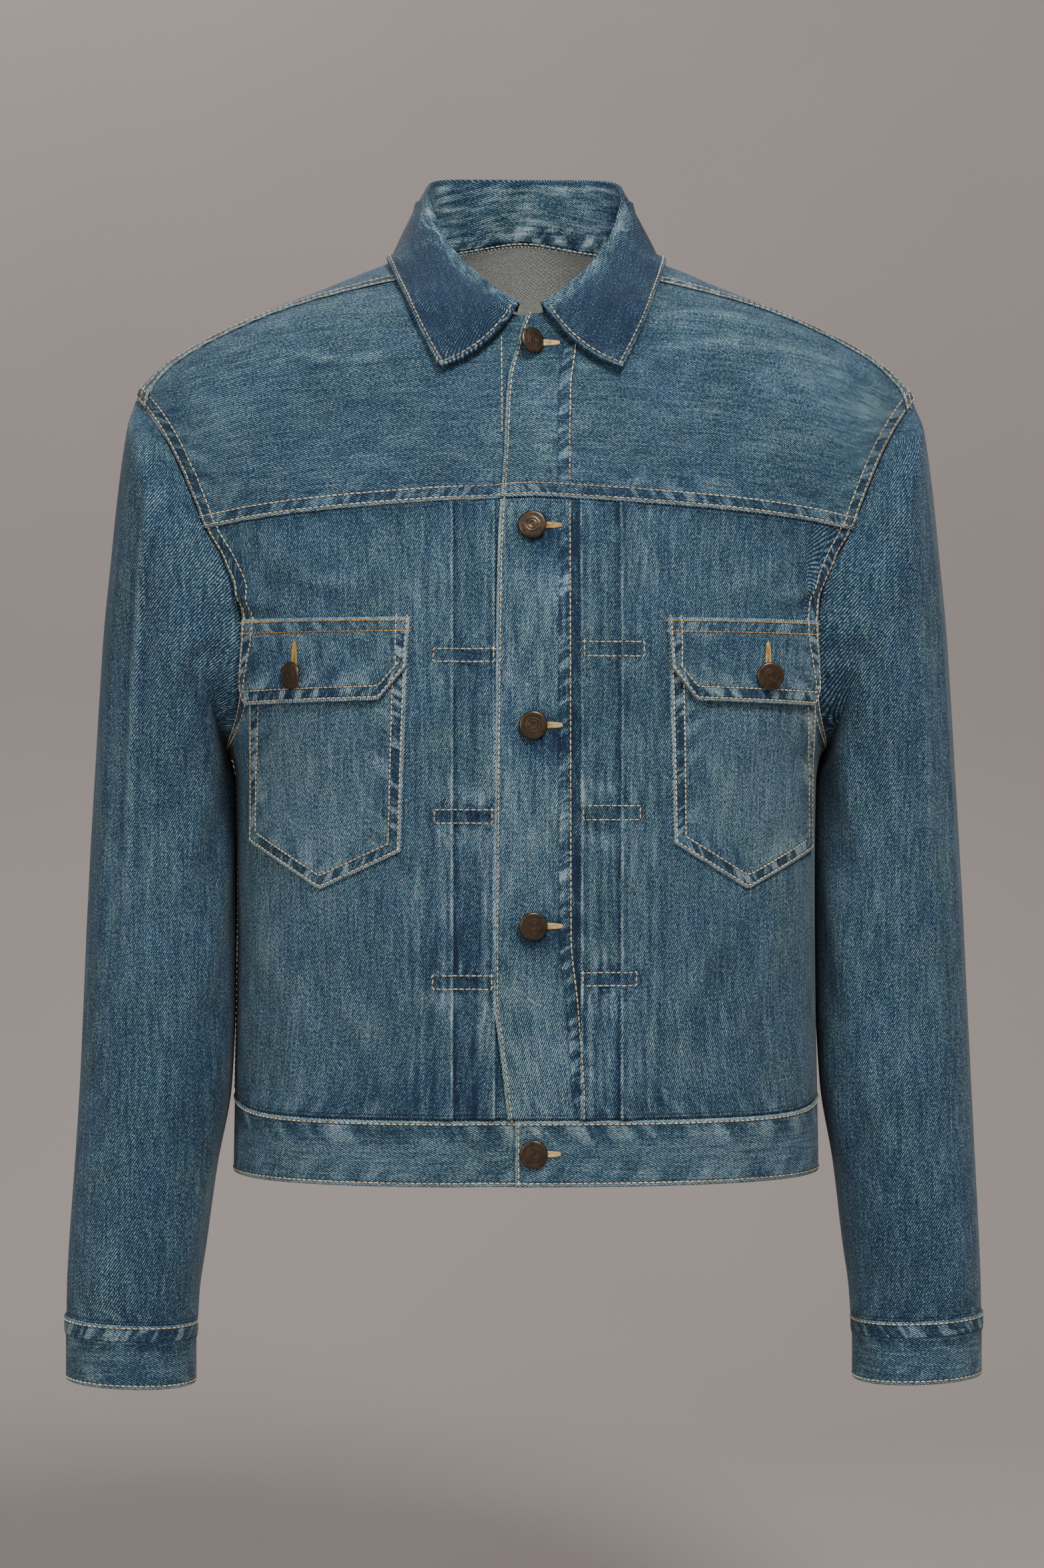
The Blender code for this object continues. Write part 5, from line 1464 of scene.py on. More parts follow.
def thread_material(kind):
    """Cotton thread; kind is the name of its colour in the settings."""
    material, tree, shader = new_material(f"Thread {kind}")
    if tree is None:
        return material
    color = np.array(getattr(bpy.context.scene.jacket_thread, kind))
    dark, pale = tuple(color * (0.62, 0.52, 0.40)), tuple(np.minimum(color * (1.25, 1.4, 1.6), 0.9))
    place = tree.nodes.new("ShaderNodeTexCoord")
    spots = scaled_noise(tree, place.outputs["Object"], (260.0, 260.0, 260.0), 2.0)
    patches = scaled_noise(tree, place.outputs["Object"], (14.0, 14.0, 14.0), 2.0)
    wear = math_node(tree, "MULTIPLY_ADD", patches, 1.6, -1.05)
    total = math_node(tree, "MULTIPLY_ADD", spots, 1.5, wear)
    ramp = color_ramp(tree, total, [(0.15, dark), (0.5, tuple(color)), (0.85, pale)])
    link(tree, ramp, shader.inputs["Base Color"])
    shader.inputs["Roughness"].default_value = 0.7
    shader.inputs["Specular IOR Level"].default_value = 0.3
    return material


def bronze_material():
    material, tree, shader = new_material("Dark bronze")
    if tree is None:
        return material
    look = bpy.context.scene.jacket_buttons
    place = tree.nodes.new("ShaderNodeTexCoord")
    patina = scaled_noise(tree, place.outputs["Object"], (300.0, 300.0, 300.0), 3.0)
    color = color_ramp(tree, patina, [(0.3, tuple(look.dark)), (0.75, tuple(look.bright))])
    link(tree, color, shader.inputs["Base Color"])
    link(tree, math_node(tree, "MULTIPLY_ADD", patina, 0.16, 0.26), shader.inputs["Roughness"])
    shader.inputs["Metallic"].default_value = 0.9
    return material


# ---------------------------------------------------------------- stitches


def stitch_tree():
    """Geometry nodes: a thread bead at even steps along every line of the mesh."""
    tree = bpy.data.node_groups.get("Stitch Run")
    if tree:
        return tree
    tree = bpy.data.node_groups.new("Stitch Run", "GeometryNodeTree")
    tree.is_modifier = True
    face = tree.interface
    face.new_socket("Geometry", in_out="OUTPUT", socket_type="NodeSocketGeometry")
    face.new_socket("Geometry", in_out="INPUT", socket_type="NodeSocketGeometry")
    for label in ("Pitch", "Length", "Width", "Height"):
        face.new_socket(label, in_out="INPUT", socket_type="NodeSocketFloat")
    face.new_socket("Seed", in_out="INPUT", socket_type="NodeSocketInt")
    face.new_socket("Material", in_out="INPUT", socket_type="NodeSocketMaterial")
    start = tree.nodes.new("NodeGroupInput")
    end = tree.nodes.new("NodeGroupOutput")
    curve = tree.nodes.new("GeometryNodeMeshToCurve")
    spread = add_node(tree, "GeometryNodeResampleCurve", mode="LENGTH")
    link(tree, start.outputs["Geometry"], curve.inputs["Mesh"])
    link(tree, curve.outputs["Curve"], spread.inputs["Curve"])
    link(tree, start.outputs["Pitch"], spread.inputs["Length"])
    bead = tree.nodes.new("GeometryNodeMeshUVSphere")
    bead.inputs["Segments"].default_value = 6
    bead.inputs["Rings"].default_value = 5
    bead.inputs["Radius"].default_value = 0.5
    size = tree.nodes.new("ShaderNodeCombineXYZ")
    link(tree, start.outputs["Height"], size.inputs["X"])
    link(tree, start.outputs["Width"], size.inputs["Y"])
    link(tree, start.outputs["Length"], size.inputs["Z"])
    shape = tree.nodes.new("GeometryNodeTransform")
    shape.inputs["Rotation"].default_value = (0.0, math.pi / 2, 0.0)
    link(tree, bead.outputs["Mesh"], shape.inputs["Geometry"])
    link(tree, size.outputs[0], shape.inputs["Scale"])
    out = add_node(tree, "GeometryNodeInputNamedAttribute", data_type="FLOAT_VECTOR")
    out.inputs["Name"].default_value = "out"
    along_it = add_node(tree, "GeometryNodeInputNamedAttribute", data_type="FLOAT_VECTOR")
    along_it.inputs["Name"].default_value = "along"
    axes = add_node(tree, "FunctionNodeAxesToRotation", primary_axis="Z", secondary_axis="X")
    link(tree, out.outputs[0], axes.inputs["Primary Axis"])
    link(tree, along_it.outputs[0], axes.inputs["Secondary Axis"])
    wobble = add_node(tree, "FunctionNodeRandomValue", data_type="FLOAT_VECTOR")
    wobble.inputs[0].default_value = (0.0, 0.0, -0.09)
    wobble.inputs[1].default_value = (0.0, 0.0, 0.09)
    link(tree, start.outputs["Seed"], wobble.inputs["Seed"])
    turn = tree.nodes.new("FunctionNodeRotateRotation")
    turn.rotation_space = "LOCAL"
    link(tree, axes.outputs[0], turn.inputs[0])
    link(tree, wobble.outputs[0], turn.inputs[1])
    place = tree.nodes.new("GeometryNodeInstanceOnPoints")
    link(tree, spread.outputs["Curve"], place.inputs["Points"])
    link(tree, shape.outputs[0], place.inputs["Instance"])
    link(tree, turn.outputs[0], place.inputs["Rotation"])
    real = tree.nodes.new("GeometryNodeRealizeInstances")
    link(tree, place.outputs[0], real.inputs[0])
    smooth = tree.nodes.new("GeometryNodeSetShadeSmooth")
    link(tree, real.outputs[0], smooth.inputs[0])
    paint = tree.nodes.new("GeometryNodeSetMaterial")
    link(tree, smooth.outputs[0], paint.inputs["Geometry"])
    link(tree, start.outputs["Material"], paint.inputs["Material"])
    link(tree, paint.outputs[0], end.inputs["Geometry"])
    return tree


def tangents(spots):
    return unit(np.gradient(spots, axis=0))


def sew(name, runs, pitch=None, length=None, width=None, across=False, thread="seam"):
    """Stitches along runs of (points, normals), made one plain mesh."""
    look = bpy.context.scene.jacket_thread
    spots, outs, ways, edges = [], [], [], []
    first = 0
    for line, out in runs:
        if len(line) < 2:
            continue
        way = tangents(line)
        spots.append(line + out * look.sit)
        outs.append(out)
        ways.append(np.cross(out, way) if across else way)
        index = np.arange(first, first + len(line))
        edges.append(np.stack([index[:-1], index[1:]], axis=-1))
        first += len(line)
    mesh = bpy.data.meshes.new(name)
    spots, edges = np.concatenate(spots), np.concatenate(edges)
    mesh.vertices.add(len(spots))
    mesh.vertices.foreach_set("co", spots.astype(np.float32).ravel())
    mesh.edges.add(len(edges))
    mesh.edges.foreach_set("vertices", edges.astype(np.int32).ravel())
    for label, values in (("out", outs), ("along", ways)):
        layer = mesh.attributes.new(label, "FLOAT_VECTOR", "POINT")
        layer.data.foreach_set("vector", np.concatenate(values).astype(np.float32).ravel())
    mesh.update()
    obj = add_object(name, mesh)
    tree = stitch_tree()
    modifier = obj.modifiers.new("Stitches", "NODES")
    modifier.node_group = tree
    width = width or look.width
    values = {
        "Pitch": pitch or look.pitch,
        "Length": length or look.length,
        "Width": width,
        "Height": width * 0.75,
        "Seed": 7,
        "Material": thread_material(thread),
    }
    for item in tree.interface.items_tree:
        if item.in_out == "INPUT" and item.name in values:
            modifier[item.identifier] = values[item.name]
    obj.update_tag()
    bpy.context.view_layer.update()
    graph = bpy.context.evaluated_depsgraph_get()
    made = bpy.data.meshes.new_from_object(obj.evaluated_get(graph))
    obj.modifiers.clear()
    obj.data = made
    made.name = name
    for attribute in [a.name for a in made.attributes if a.name in ("out", "along")]:
        made.attributes.remove(made.attributes[attribute])
    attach(obj, BODY)
    return obj


def settle(obj, node, cloth):
    """Hand a finished cloth piece to the frame."""
    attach(obj, BODY)
    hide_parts(node)
    width, length = cloth.flat_size()
    corners = cloth.base
    if cloth.ring:
        corners = np.concatenate([corners, corners[:, :1]], axis=1)


WORDS = {-1: "right", 1: "left"}


def wrap_grain(cloth, angle, radius):
    """Lay a ring's cloth straight down its tube, whatever the slant of its rings."""
    turn = np.radians(angle - angle[0]) * -radius
    cloth.grain = np.stack([np.broadcast_to(turn, cloth.up.shape), cloth.base[..., 2]], axis=-1)
    cloth.round_length = -2 * math.pi * radius


def sleeve_grain(cloth, angle):
    """Lay a sleeve's cloth straight down the arm and over the top of its head."""
    x, y, z = np.moveaxis(cloth.base, -1, 0)
    around = np.degrees(np.arctan2(-(y - z * SLEEVE_LEAN), x - SLEEVE_AXIS))
    ring = np.broadcast_to(angle[None], z.shape)
    around = around + 360.0 * np.round((ring - around) / 360.0)
    turn = -np.radians(around - angle[0]) * SLEEVE_RADIUS
    crown = ease((z - SLEEVE_CROWN[0]) / (SLEEVE_CROWN[1] - SLEEVE_CROWN[0]))
    flat = y + np.radians(angle[0] - 360.0) * SLEEVE_RADIUS
    cloth.grain = np.stack(
        [blend(turn, flat, crown), z - crown * (x - SLEEVE_AXIS)], axis=-1
    )
    cloth.round_length = -2 * math.pi * SLEEVE_RADIUS


# ---------------------------------------------------------------- settings


class JacketDenim(bpy.types.PropertyGroup):
    dark: FloatVectorProperty(
        name="Darkest", description="Unfaded indigo", subtype="COLOR", default=(0.010, 0.020, 0.047)
    )
    deep: FloatVectorProperty(
        name="Deep", description="Lightly faded indigo", subtype="COLOR", default=(0.016, 0.053, 0.100)
    )
    middle: FloatVectorProperty(
        name="Middle", description="Washed blue", subtype="COLOR", default=(0.058, 0.146, 0.186)
    )
    pale: FloatVectorProperty(
        name="Pale", description="Faded blue", subtype="COLOR", default=(0.208, 0.340, 0.360)
    )
    worn: FloatVectorProperty(
        name="Worn", description="Rubbed through to the core", subtype="COLOR", default=(0.52, 0.57, 0.58)
    )
    wrong_dark: FloatVectorProperty(
        name="Wrong side, dark", description="Indigo that shows inside", subtype="COLOR",
        default=(0.045, 0.055, 0.070),
    )
    wrong_middle: FloatVectorProperty(
        name="Wrong side", description="Undyed weft, in shade", subtype="COLOR",
        default=(0.40, 0.41, 0.375),
    )
    wrong_pale: FloatVectorProperty(
        name="Wrong side, pale", description="Undyed weft", subtype="COLOR", default=(0.86, 0.86, 0.77)
    )
    fade: FloatProperty(
        name="Fade", description="How far the cloth has faded", default=0.375, subtype="FACTOR"
    )
    weave_contrast: FloatProperty(
        name="Weave contrast", description="How clearly the twill shows", default=0.335, subtype="FACTOR"
    )
    wash_contrast: FloatProperty(
        name="Wash contrast", description="How uneven the fading is", default=0.35, subtype="FACTOR"
    )


class JacketThread(bpy.types.PropertyGroup):
    seam: FloatVectorProperty(
        name="Seams", description="Thread of the seams", subtype="COLOR", default=(0.72, 0.60, 0.39)
    )
    pocket: FloatVectorProperty(
        name="Flaps", description="Golden thread of the flaps", subtype="COLOR", default=(0.60, 0.31, 0.07)
    )
    buttonhole: FloatVectorProperty(
        name="Buttonholes", description="Thread of the buttonholes", subtype="COLOR",
        default=(0.72, 0.50, 0.22),
    )
    pitch: FloatProperty(
        name="Pitch", description="From stitch to stitch", default=0.0040, subtype="DISTANCE", unit="LENGTH"
    )
    length: FloatProperty(
        name="Length", description="Thread that shows", default=0.0035, subtype="DISTANCE", unit="LENGTH"
    )
    width: FloatProperty(
        name="Width", description="Thickness of the thread", default=0.0011, subtype="DISTANCE", unit="LENGTH"
    )
    sit: FloatProperty(
        name="Height over cloth", description="Middle of the thread over the cloth", default=0.0002,
        subtype="DISTANCE", unit="LENGTH",
    )


class JacketButtons(bpy.types.PropertyGroup):
    dark: FloatVectorProperty(
        name="Dark", description="Patina", subtype="COLOR", default=(0.085, 0.058, 0.040)
    )
    bright: FloatVectorProperty(
        name="Bright", description="Rubbed bronze", subtype="COLOR", default=(0.15, 0.105, 0.072)
    )


class JacketStage(bpy.types.PropertyGroup):
    ground: FloatVectorProperty(
        name="Ground", description="Colour of the floor and backdrop", subtype="COLOR",
        default=(0.43, 0.378, 0.355),
    )
    key_power: FloatProperty(name="Key light", description="Main soft light", default=66.0, unit="POWER")
    fill_power: FloatProperty(
        name="Fill light", description="Soft light from the left", default=20.0, unit="POWER"
    )
    back_power: FloatProperty(
        name="Back light", description="Dim light on the back", default=20.0, unit="POWER"
    )
    sky: FloatProperty(name="Ambient", description="Light from all round", default=0.36)


# ---------------------------------------------------------------- operators


class JacketOperator:
    bl_options = {"REGISTER", "UNDO"}


class JACKET_OT_fronts(JacketOperator, bpy.types.Operator):
    """Build both front panels with their pleats and lapped edges"""

    bl_idname = "jacket.fronts"
    bl_label = "Fronts"

    def execute(self, context):
        material = denim("Denim fronts", -0.065)
        for side, word in WORDS.items():
            base = front_panel_base(side)
            under = side < 0
            cloth = Cloth(base, seed=2.0 + side)
            x, z = base[..., 0], base[..., 2]
            cloth.crease(*crease_relief(x, z, FRONT_CREASES[side, "panel"]))
            cloth.lift = cloth.lift + pleat_lift(x, z, side) + lap_lift(x, under)
            cloth.tone = cloth.tone + pleat_tone(x, z, side)
            cloth.tone = cloth.tone + marks_tone(x, z, FRONT_MARKS[side, "panel"])
            cloth.crease(*tack_puckers(x, z, side))
            cloth.tone = cloth.tone + (PLACKET_FADE * 0.4 * (x < 0.024) if under else placket_tone(x, z))
            cloth.sunk = -lap_lift(x, under)
            below_yoke, run = cloth.edge("top")
            # Painted shadow under the yoke's lapped edge: darker just below the yoke seam, fading downwards.
            cloth.tone = cloth.tone - 0.14 * np.exp(-below_yoke / 0.009) * ease((x - 0.030) / 0.02)
            pucker = uneven_wave(run + 0.2 * below_yoke, 0.014, 1.0 + side)
            cloth.crease(
                0.0005 * pucker * np.exp(-below_yoke / 0.008), 0.07 * pucker * np.exp(-below_yoke / 0.010)
            )
            beside, _ = cloth.edge("right")
            # Painted shade in the hollow beside the armhole, high on the panel's side edge.
            pit = np.exp(-(((z + 0.222) / 0.024) ** 2)) * np.exp(-((beside / 0.016) ** 2))
            cloth.tone = cloth.tone - 0.26 * pit
            cloth.seam("left", fold=0.34, rope=0.5, width=0.0030)
            cloth.seam("bottom", rope=1.2, **PLAIN_EDGE)
            cloth.seam("top", rope=0.8, **PLAIN_EDGE)
            armhole = ease((z - UNDERARM + 0.006) / 0.004)
            cloth.seam("right", rise=0.0007, fold=0.32, rope=1.0, where=armhole)
            cloth.seam("right", fold=0.0, rope=0.6, where=1 - armhole)
            if not under:
                cloth.inner_seam(x - placket_line_x(z), z, 1.15, x > 0)
            for top, bottom, start, end in TACKS[side]:
                over_tack = (x > start - 0.003) & (x < end + 0.003)
                off = np.maximum(z - top, bottom - z)
                cloth.inner_seam(np.abs(off), 1.5 * x, 1.6, over_tack & (off > 0))
                cloth.tone = cloth.tone - 0.14 * over_tack * ease(1 - off / 0.002)
            obj = cloth_object(f"front_{word}_cloth", cloth, material, side)
            runs = [cloth.line("left", 0.0030, side=side)]
            heights = stops(PANEL_LINE_Z, CELL)
            if not under:
                runs.append(on_panel(placket_line_x(heights), heights, side))
            for top, bottom, start, end in TACKS[side]:
                ring_x = [start, end, end, start, start]
                ring_z = [top, top, bottom, bottom, top]
                runs.append(self.panel_path(ring_x, ring_z, side))
            for distance in STITCH_LINES:
                runs.append(cloth.line("right", distance, side=side))
            stitches = sew(f"front_{word}_stitches", runs)
            settle(obj, f"front_{word}", cloth)
        return {"FINISHED"}

    @staticmethod
    def panel_path(corner_x, corner_z, side):
        line = np.stack([corner_x, corner_z], axis=-1)
        line = resampled(line, np.linspace(0.0, 1.0, 60))
        return on_panel(line[:, 0], line[:, 1], side)


class JACKET_OT_front_yokes(JacketOperator, bpy.types.Operator):
    """Build both front yokes"""

    bl_idname = "jacket.front_yokes"
    bl_label = "Front yokes"

    def execute(self, context):
        material = denim("Denim yokes", -0.08)
        base = front_yoke_base()
        for side, word in WORDS.items():
            under = side < 0
            cloth = Cloth(base, seed=5.0 + side)
            x, z = base[..., 0], base[..., 2]
            cloth.crease(*crease_relief(x, z, FRONT_CREASES[side, "yoke"]))
            cloth.tone = cloth.tone + marks_tone(x, z, FRONT_MARKS[side, "yoke"])
            lap = lap_lift(x, under)
            cloth.lift = cloth.lift + lap
            cloth.sunk = -lap
            cloth.seam("top", rope=0.6, **PLAIN_EDGE)
            cloth.seam("top", fold=0.6, rope=0.3, width=0.0030, where=ease((0.034 - x) / 0.004))
            cloth.seam("bottom", rise=0.0011, fold=0.40)
            cloth.seam("left", fold=0.34, rope=0.5, width=0.0030)
            if not under:
                cloth.inner_seam(x - placket_line_x(z), z, 1.1, x > 0)
            cloth.seam("right", rise=0.0007, fold=0.34)
            obj = cloth_object(f"front_yoke_{word}_cloth", cloth, material, side, crossed=True)
            runs = [cloth.line("bottom", distance, side=side) for distance in STITCH_LINES]
            runs.append(cloth.line("left", 0.0030, side=side))
            runs += [cloth.line("right", distance, side=side) for distance in STITCH_LINES]
            if not under:
                heights = stops(YOKE_LINE_Z, CELL)
                spot = on_form(placket_line_x(heights), heights, -1)
                normal = form_normal(spot)
                runs.append((spot + normal * LINE_LIFT, normal))
            else:
                heights = stops(UNDER_LINE_Z, CELL)
                spot = on_form(np.full_like(heights, UNDER_LINE_X), heights, -1)
                normal = form_normal(spot)
                sunk = (lap_lift(spot[:, 0], True) + LINE_LIFT)[:, None]
                runs.append((turned(spot + normal * sunk, side), turned(normal, side)))
            stitches = sew(f"front_yoke_{word}_stitches", runs)
            settle(obj, f"front_yoke_{word}", cloth)
        return {"FINISHED"}


class JACKET_OT_back(JacketOperator, bpy.types.Operator):
    """Build the back yoke and the back panel"""

    bl_idname = "jacket.back"
    bl_label = "Back"

    def execute(self, context):
        cloth = Cloth(back_yoke_base(), seed=9.0)
        cloth.seam("bottom", rise=0.0011, fold=0.40)
        cloth.seam("left", rise=0.0007, fold=0.34)
        cloth.seam("right", rise=0.0007, fold=0.34)
        on_shoulder = ease((np.abs(cloth.base[..., 0]) - 0.070) / 0.012)
        cloth.seam("top", rise=0.0010, fold=0.42, where=on_shoulder)
        obj = cloth_object("back_yoke_cloth", cloth, denim("Denim yokes", -0.08), crossed=True)
        runs = [cloth.line("bottom", distance) for distance in STITCH_LINES]
        for edge in ("left", "right"):
            runs += [cloth.line(edge, distance, start=0.002, end=0.002) for distance in STITCH_LINES]
        for distance in STITCH_LINES:
            line, out = cloth.line("top", distance)
            for sign in (-1, 1):
                keep = line[:, 0] * sign > 0.080
                runs.append((line[keep], out[keep]))
        stitches = sew("back_yoke_stitches", runs)
        settle(obj, "back_yoke", cloth)

        cloth = Cloth(back_panel_base(), seed=12.0)
        cloth.crease(*crease_relief(cloth.base[..., 0], cloth.base[..., 2], BACK_CREASES))
        cloth.seam("bottom", rope=1.2, **PLAIN_EDGE)
        cloth.seam("top", rope=0.8, **PLAIN_EDGE)
        for edge in ("left", "right"):
            cloth.seam(edge, rise=0.0002, fold=0.1, rope=0.7)
        obj = cloth_object("back_panel_cloth", cloth, denim("Denim back", -0.065))
        runs = []
        above = cloth.base[:, 0, 2] > UNDERARM
        for edge in ("left", "right"):
            for distance in STITCH_LINES:
                line, out = cloth.line(edge, distance)
                runs.append((line[above], out[above]))
        stitches = sew("back_panel_stitches", runs)
        settle(obj, "back_panel", cloth)
        return {"FINISHED"}


class JACKET_OT_sleeves(JacketOperator, bpy.types.Operator):
    """Build both sleeves with their soft folds"""

    bl_idname = "jacket.sleeves"
    bl_label = "Sleeves"

    def execute(self, context):
        # The sleeves' shade value is painted shade: it darkens both sleeves all over.
        material = denim("Denim sleeves", -0.115)
        for side, word in WORDS.items():
            base, angle = sleeve_base(side)
            cloth = Cloth(base, ring_normals(base), ring=True, seed=16.0 + side)
            height = base[..., 2]
            rise, tone = np.zeros(height.shape), np.zeros(height.shape)
            for middle, fold_z, half_length, half_turn, most, slant, shade in SLEEVE_FOLDS[side]:
                turn = angle[None] - middle - slant * (height - fold_z)
                turn = (turn + 180) % 360 - 180
                along_it = ease(1.2 - np.abs(height - fold_z) / half_length)
                ridge = np.exp(-((turn / half_turn) ** 2))
                hollow = 0.5 * np.exp(-(((turn - 1.7 * half_turn) / half_turn) ** 2))
                rise += most * along_it * (ridge - hollow)
                tone += shade * along_it * (ridge - hollow)
            top_fade = ease(cloth.up / 0.02)
            beside_body = 1 - np.exp(-(((angle[None] % 360.0 - 180.0) / 26.0) ** 2))
            rise = rise * top_fade * ease((cloth.up[-1] - cloth.up) / 0.02) * beside_body
            cloth.crease(rise, tone)
            cloth.seam("bottom", rope=0.6, **PLAIN_EDGE)
            cloth.seam("top", rope=1.2, **PLAIN_EDGE)
            felled = np.abs((angle - SLEEVE_SEAM_ANGLE + 180) % 360 - 180) * 0.0009
            cloth.lift = cloth.lift + 0.0007 * ease((0.006 - felled) / 0.002)[None] * top_fade
            cloth.tone = cloth.tone + 0.12 * ease((0.006 - felled) / 0.003)[None]
            sleeve_grain(cloth, angle)
            obj = cloth_object(f"sleeve_{word}_cloth", cloth, material, side)
            runs = []
            face = cloth.face()
            for offset in (-4.0, 4.0):
                j = round(offset / 360 * SLEEVE_COLUMNS)
                runs.append((turned(face[2:-2, j], side), turned(cloth.normal[2:-2, j], side)))
            stitches = sew(f"sleeve_{word}_stitches", runs)
            settle(obj, f"sleeve_{word}", cloth)
        return {"FINISHED"}


class JACKET_OT_cuffs(JacketOperator, bpy.types.Operator):
    """Build both cuffs"""

    bl_idname = "jacket.cuffs"
    bl_label = "Cuffs"

    def execute(self, context):
        material = denim("Denim cuffs", -0.05)
        angle = CUFF_LAP[1] + np.arange(CUFF_COLUMNS) * 360.0 / CUFF_COLUMNS
        drops = edged(0.0, CUFF_HEIGHT, cell=0.0024, inner=(CUFF_RIDGE,))
        for side, word in WORDS.items():
            base = np.array([cuff_ring(angle, drop, *CUFF_RADIUS, side) for drop in drops])
            cloth = Cloth(base, ring_normals(base), ring=True, wall=BAND_WALL, seed=22.0 + side)
            down = drops[:, None] + 0.0 * angle[None]
            cloth.lift = cloth.lift + CUFF_RIDGE_RISE * ease((CUFF_RIDGE + 0.001 - down) / 0.0016)
            start, end = CUFF_LAP
            turn = angle % 360.0
            lap = ease((turn - start) / 3.0) * ease((end + 3 - turn) / 3.0)
            cloth.lift = cloth.lift + CUFF_LAP_RISE * lap[None]
            cloth.seam("bottom", fold=0.25, rope=1.2, width=CUFF_RIDGE)
            cloth.seam("top", fold=0.36, rope=1.0, width=0.0028)
            cloth.tone = cloth.tone + 0.16 * np.exp(-(((down - CUFF_RIDGE + 0.001) / 0.0016) ** 2))
            cloth.tone = cloth.tone - 0.12 * np.exp(-(((down - CUFF_RIDGE - 0.003) / 0.0030) ** 2))
            wrap_grain(cloth, angle, 0.044)
            obj = cloth_object(f"cuff_{word}_cloth", cloth, material, side, crossed=True, wrong=0.0)
            closed = []
            for edge, distance in (("bottom", 0.0024), ("top", 0.0026)):
                line, out = cloth.line(edge, distance, side=side)
                closed.append((np.concatenate([line, line[:1]]), np.concatenate([out, out[:1]])))
            stitches = sew(f"cuff_{word}_stitches", closed)
            settle(obj, f"cuff_{word}", cloth)
        return {"FINISHED"}


class JACKET_OT_waistband(JacketOperator, bpy.types.Operator):
    """Build the waistband with its lapped ends"""

    bl_idname = "jacket.waistband"
    bl_label = "Waistband"

    def execute(self, context):
        base, angle = waistband_base()
        cloth = Cloth(base, wall=BAND_WALL, seed=27.0)
        under = np.where(angle > -90.0, 1.0, 0.0)
        lap = BAND_LAP * ease((LAP_START + base[..., 0]) / (LAP_START - LAP_END)) * under
        cloth.lift = cloth.lift - lap
        cloth.sunk = lap
        cloth.seam("top", rise=0.0003, fold=0.34, rope=2.5, width=0.0030)
        cloth.seam("bottom", fold=0.34, rope=1.2, width=0.0030)
        cloth.seam("right", fold=0.34, rope=0.5, width=0.0030)
        cloth.grain = cloth.grain * [-1.0, 1.0]
        obj = cloth_object("waistband_cloth", cloth, denim("Denim bands", 0.015), crossed=True, wrong=0.0)
        runs = [cloth.line("top", 0.0026), cloth.line("bottom", 0.0026)]
        runs.append(cloth.line("right", 0.0028))
        stitches = sew("waistband_stitches", runs)
        settle(obj, "waistband", cloth)
        return {"FINISHED"}


class JACKET_OT_collar(JacketOperator, bpy.types.Operator):
    """Build the folded collar"""

    bl_idname = "jacket.collar"
    bl_label = "Collar"

    def execute(self, context):
        sections, parts = collar_sections()
        base = sections.transpose(1, 0, 2)
        normal = ring_normals(base, ring=False)
        middle = base.shape[1] // 2
        if normal[-1, middle, 1] < 0:
            normal = -normal
        shift = COLLAR_WALL / 2
        cloth = Cloth(base + normal * shift, normal, wall=COLLAR_WALL, seed=31.0)
        leaf = np.zeros(base.shape[:2])
        leaf[parts[0] + parts[1] :] = 1.0
        for edge in ("top", "left", "right"):
            cloth.seam(edge, rise=0.0005, fold=0.38, rope=0.8, width=0.0032, where=leaf)
        cloth.seam("bottom", fold=0.25, rope=1.8, width=0.0020)
        roll = np.zeros(base.shape[:2])
        roll[parts[0] - 1 : parts[0] + parts[1] + 1] = 1.0
        cloth.tone = cloth.tone + self.wear(cloth, parts, roll)
        cloth.grain = cloth.grain * [-1.0, 1.0]
        # The collar's deep shade value is painted shade: it darkens the whole collar.
        obj = cloth_object("collar_cloth", cloth, denim("Denim collar", -0.36), crossed=True, wrong=0.0)
        runs = [cloth.line("top", 0.0032, start=0.003, end=0.003), cloth.line("bottom", 0.0018)]
        for edge in ("left", "right"):
            line, out = cloth.line(edge, 0.0032)
            first = parts[0] + parts[1]
            runs.append((line[first:-3], out[first:-3]))
        stitches = sew("collar_stitches", runs)
        settle(obj, "collar", cloth)
        return {"FINISHED"}

    @staticmethod
    def wear(cloth, parts, roll):
        """Pale roll and points, and pale whiskers that rise from the neck seam inside."""
        stand, bend = parts[0], parts[1]
        run = cloth.across - cloth.across[:, -1:] / 2
        tone = 0.14 * roll * (1 + 0.4 * uneven_wave(run, 0.03, 1.0))
        inside = np.zeros(run.shape)
        inside[:stand] = 1.0
        rise = cloth.up / 0.009
        whisker = np.maximum(
            ease((uneven_wave(run + 0.9 * cloth.up, 0.017, 1.0) - 0.15) / 0.40),
            ease((uneven_wave(run - 1.0 * cloth.up, 0.021, 2.0) - 0.25) / 0.40),
        )
        tone = tone + inside * (0.34 + (0.62 * whisker - 0.22) * np.exp(-((rise - 0.8) ** 2)))
        past = cloth.up - cloth.up[stand + bend - 1]
        in_front = ease((np.abs(run) - 0.095) / 0.03) * (1 - inside)
        rub = 1 + 0.3 * uneven_wave(run + 0.6 * past, 0.05, 4.0)
        tone = tone + in_front * 0.18 * rub * np.exp(-((np.clip(past, 0, None) / 0.009) ** 2))
        crease = np.abs(run) - 0.150 - 0.7 * past
        tone = tone + (1 - inside) * 0.12 * np.exp(-((crease / 0.006) ** 2)) * ease(past / 0.01)
        to_point = np.hypot(cloth.up[-1] - cloth.up - 0.008, run[:, -1:] - np.abs(run) - 0.008)
        return tone + 0.14 * np.exp(-((to_point / 0.011) ** 2))


def patch_rows(left, right, heights_low, heights_high, rows, columns):
    """A grid of (x, z) between a left and a right edge and two lines of heights."""
    share = rows[:, None]
    x = blend(left[:, None], right[:, None], columns[None])
    z = blend(heights_high(x), heights_low(x), share)
    return x, z


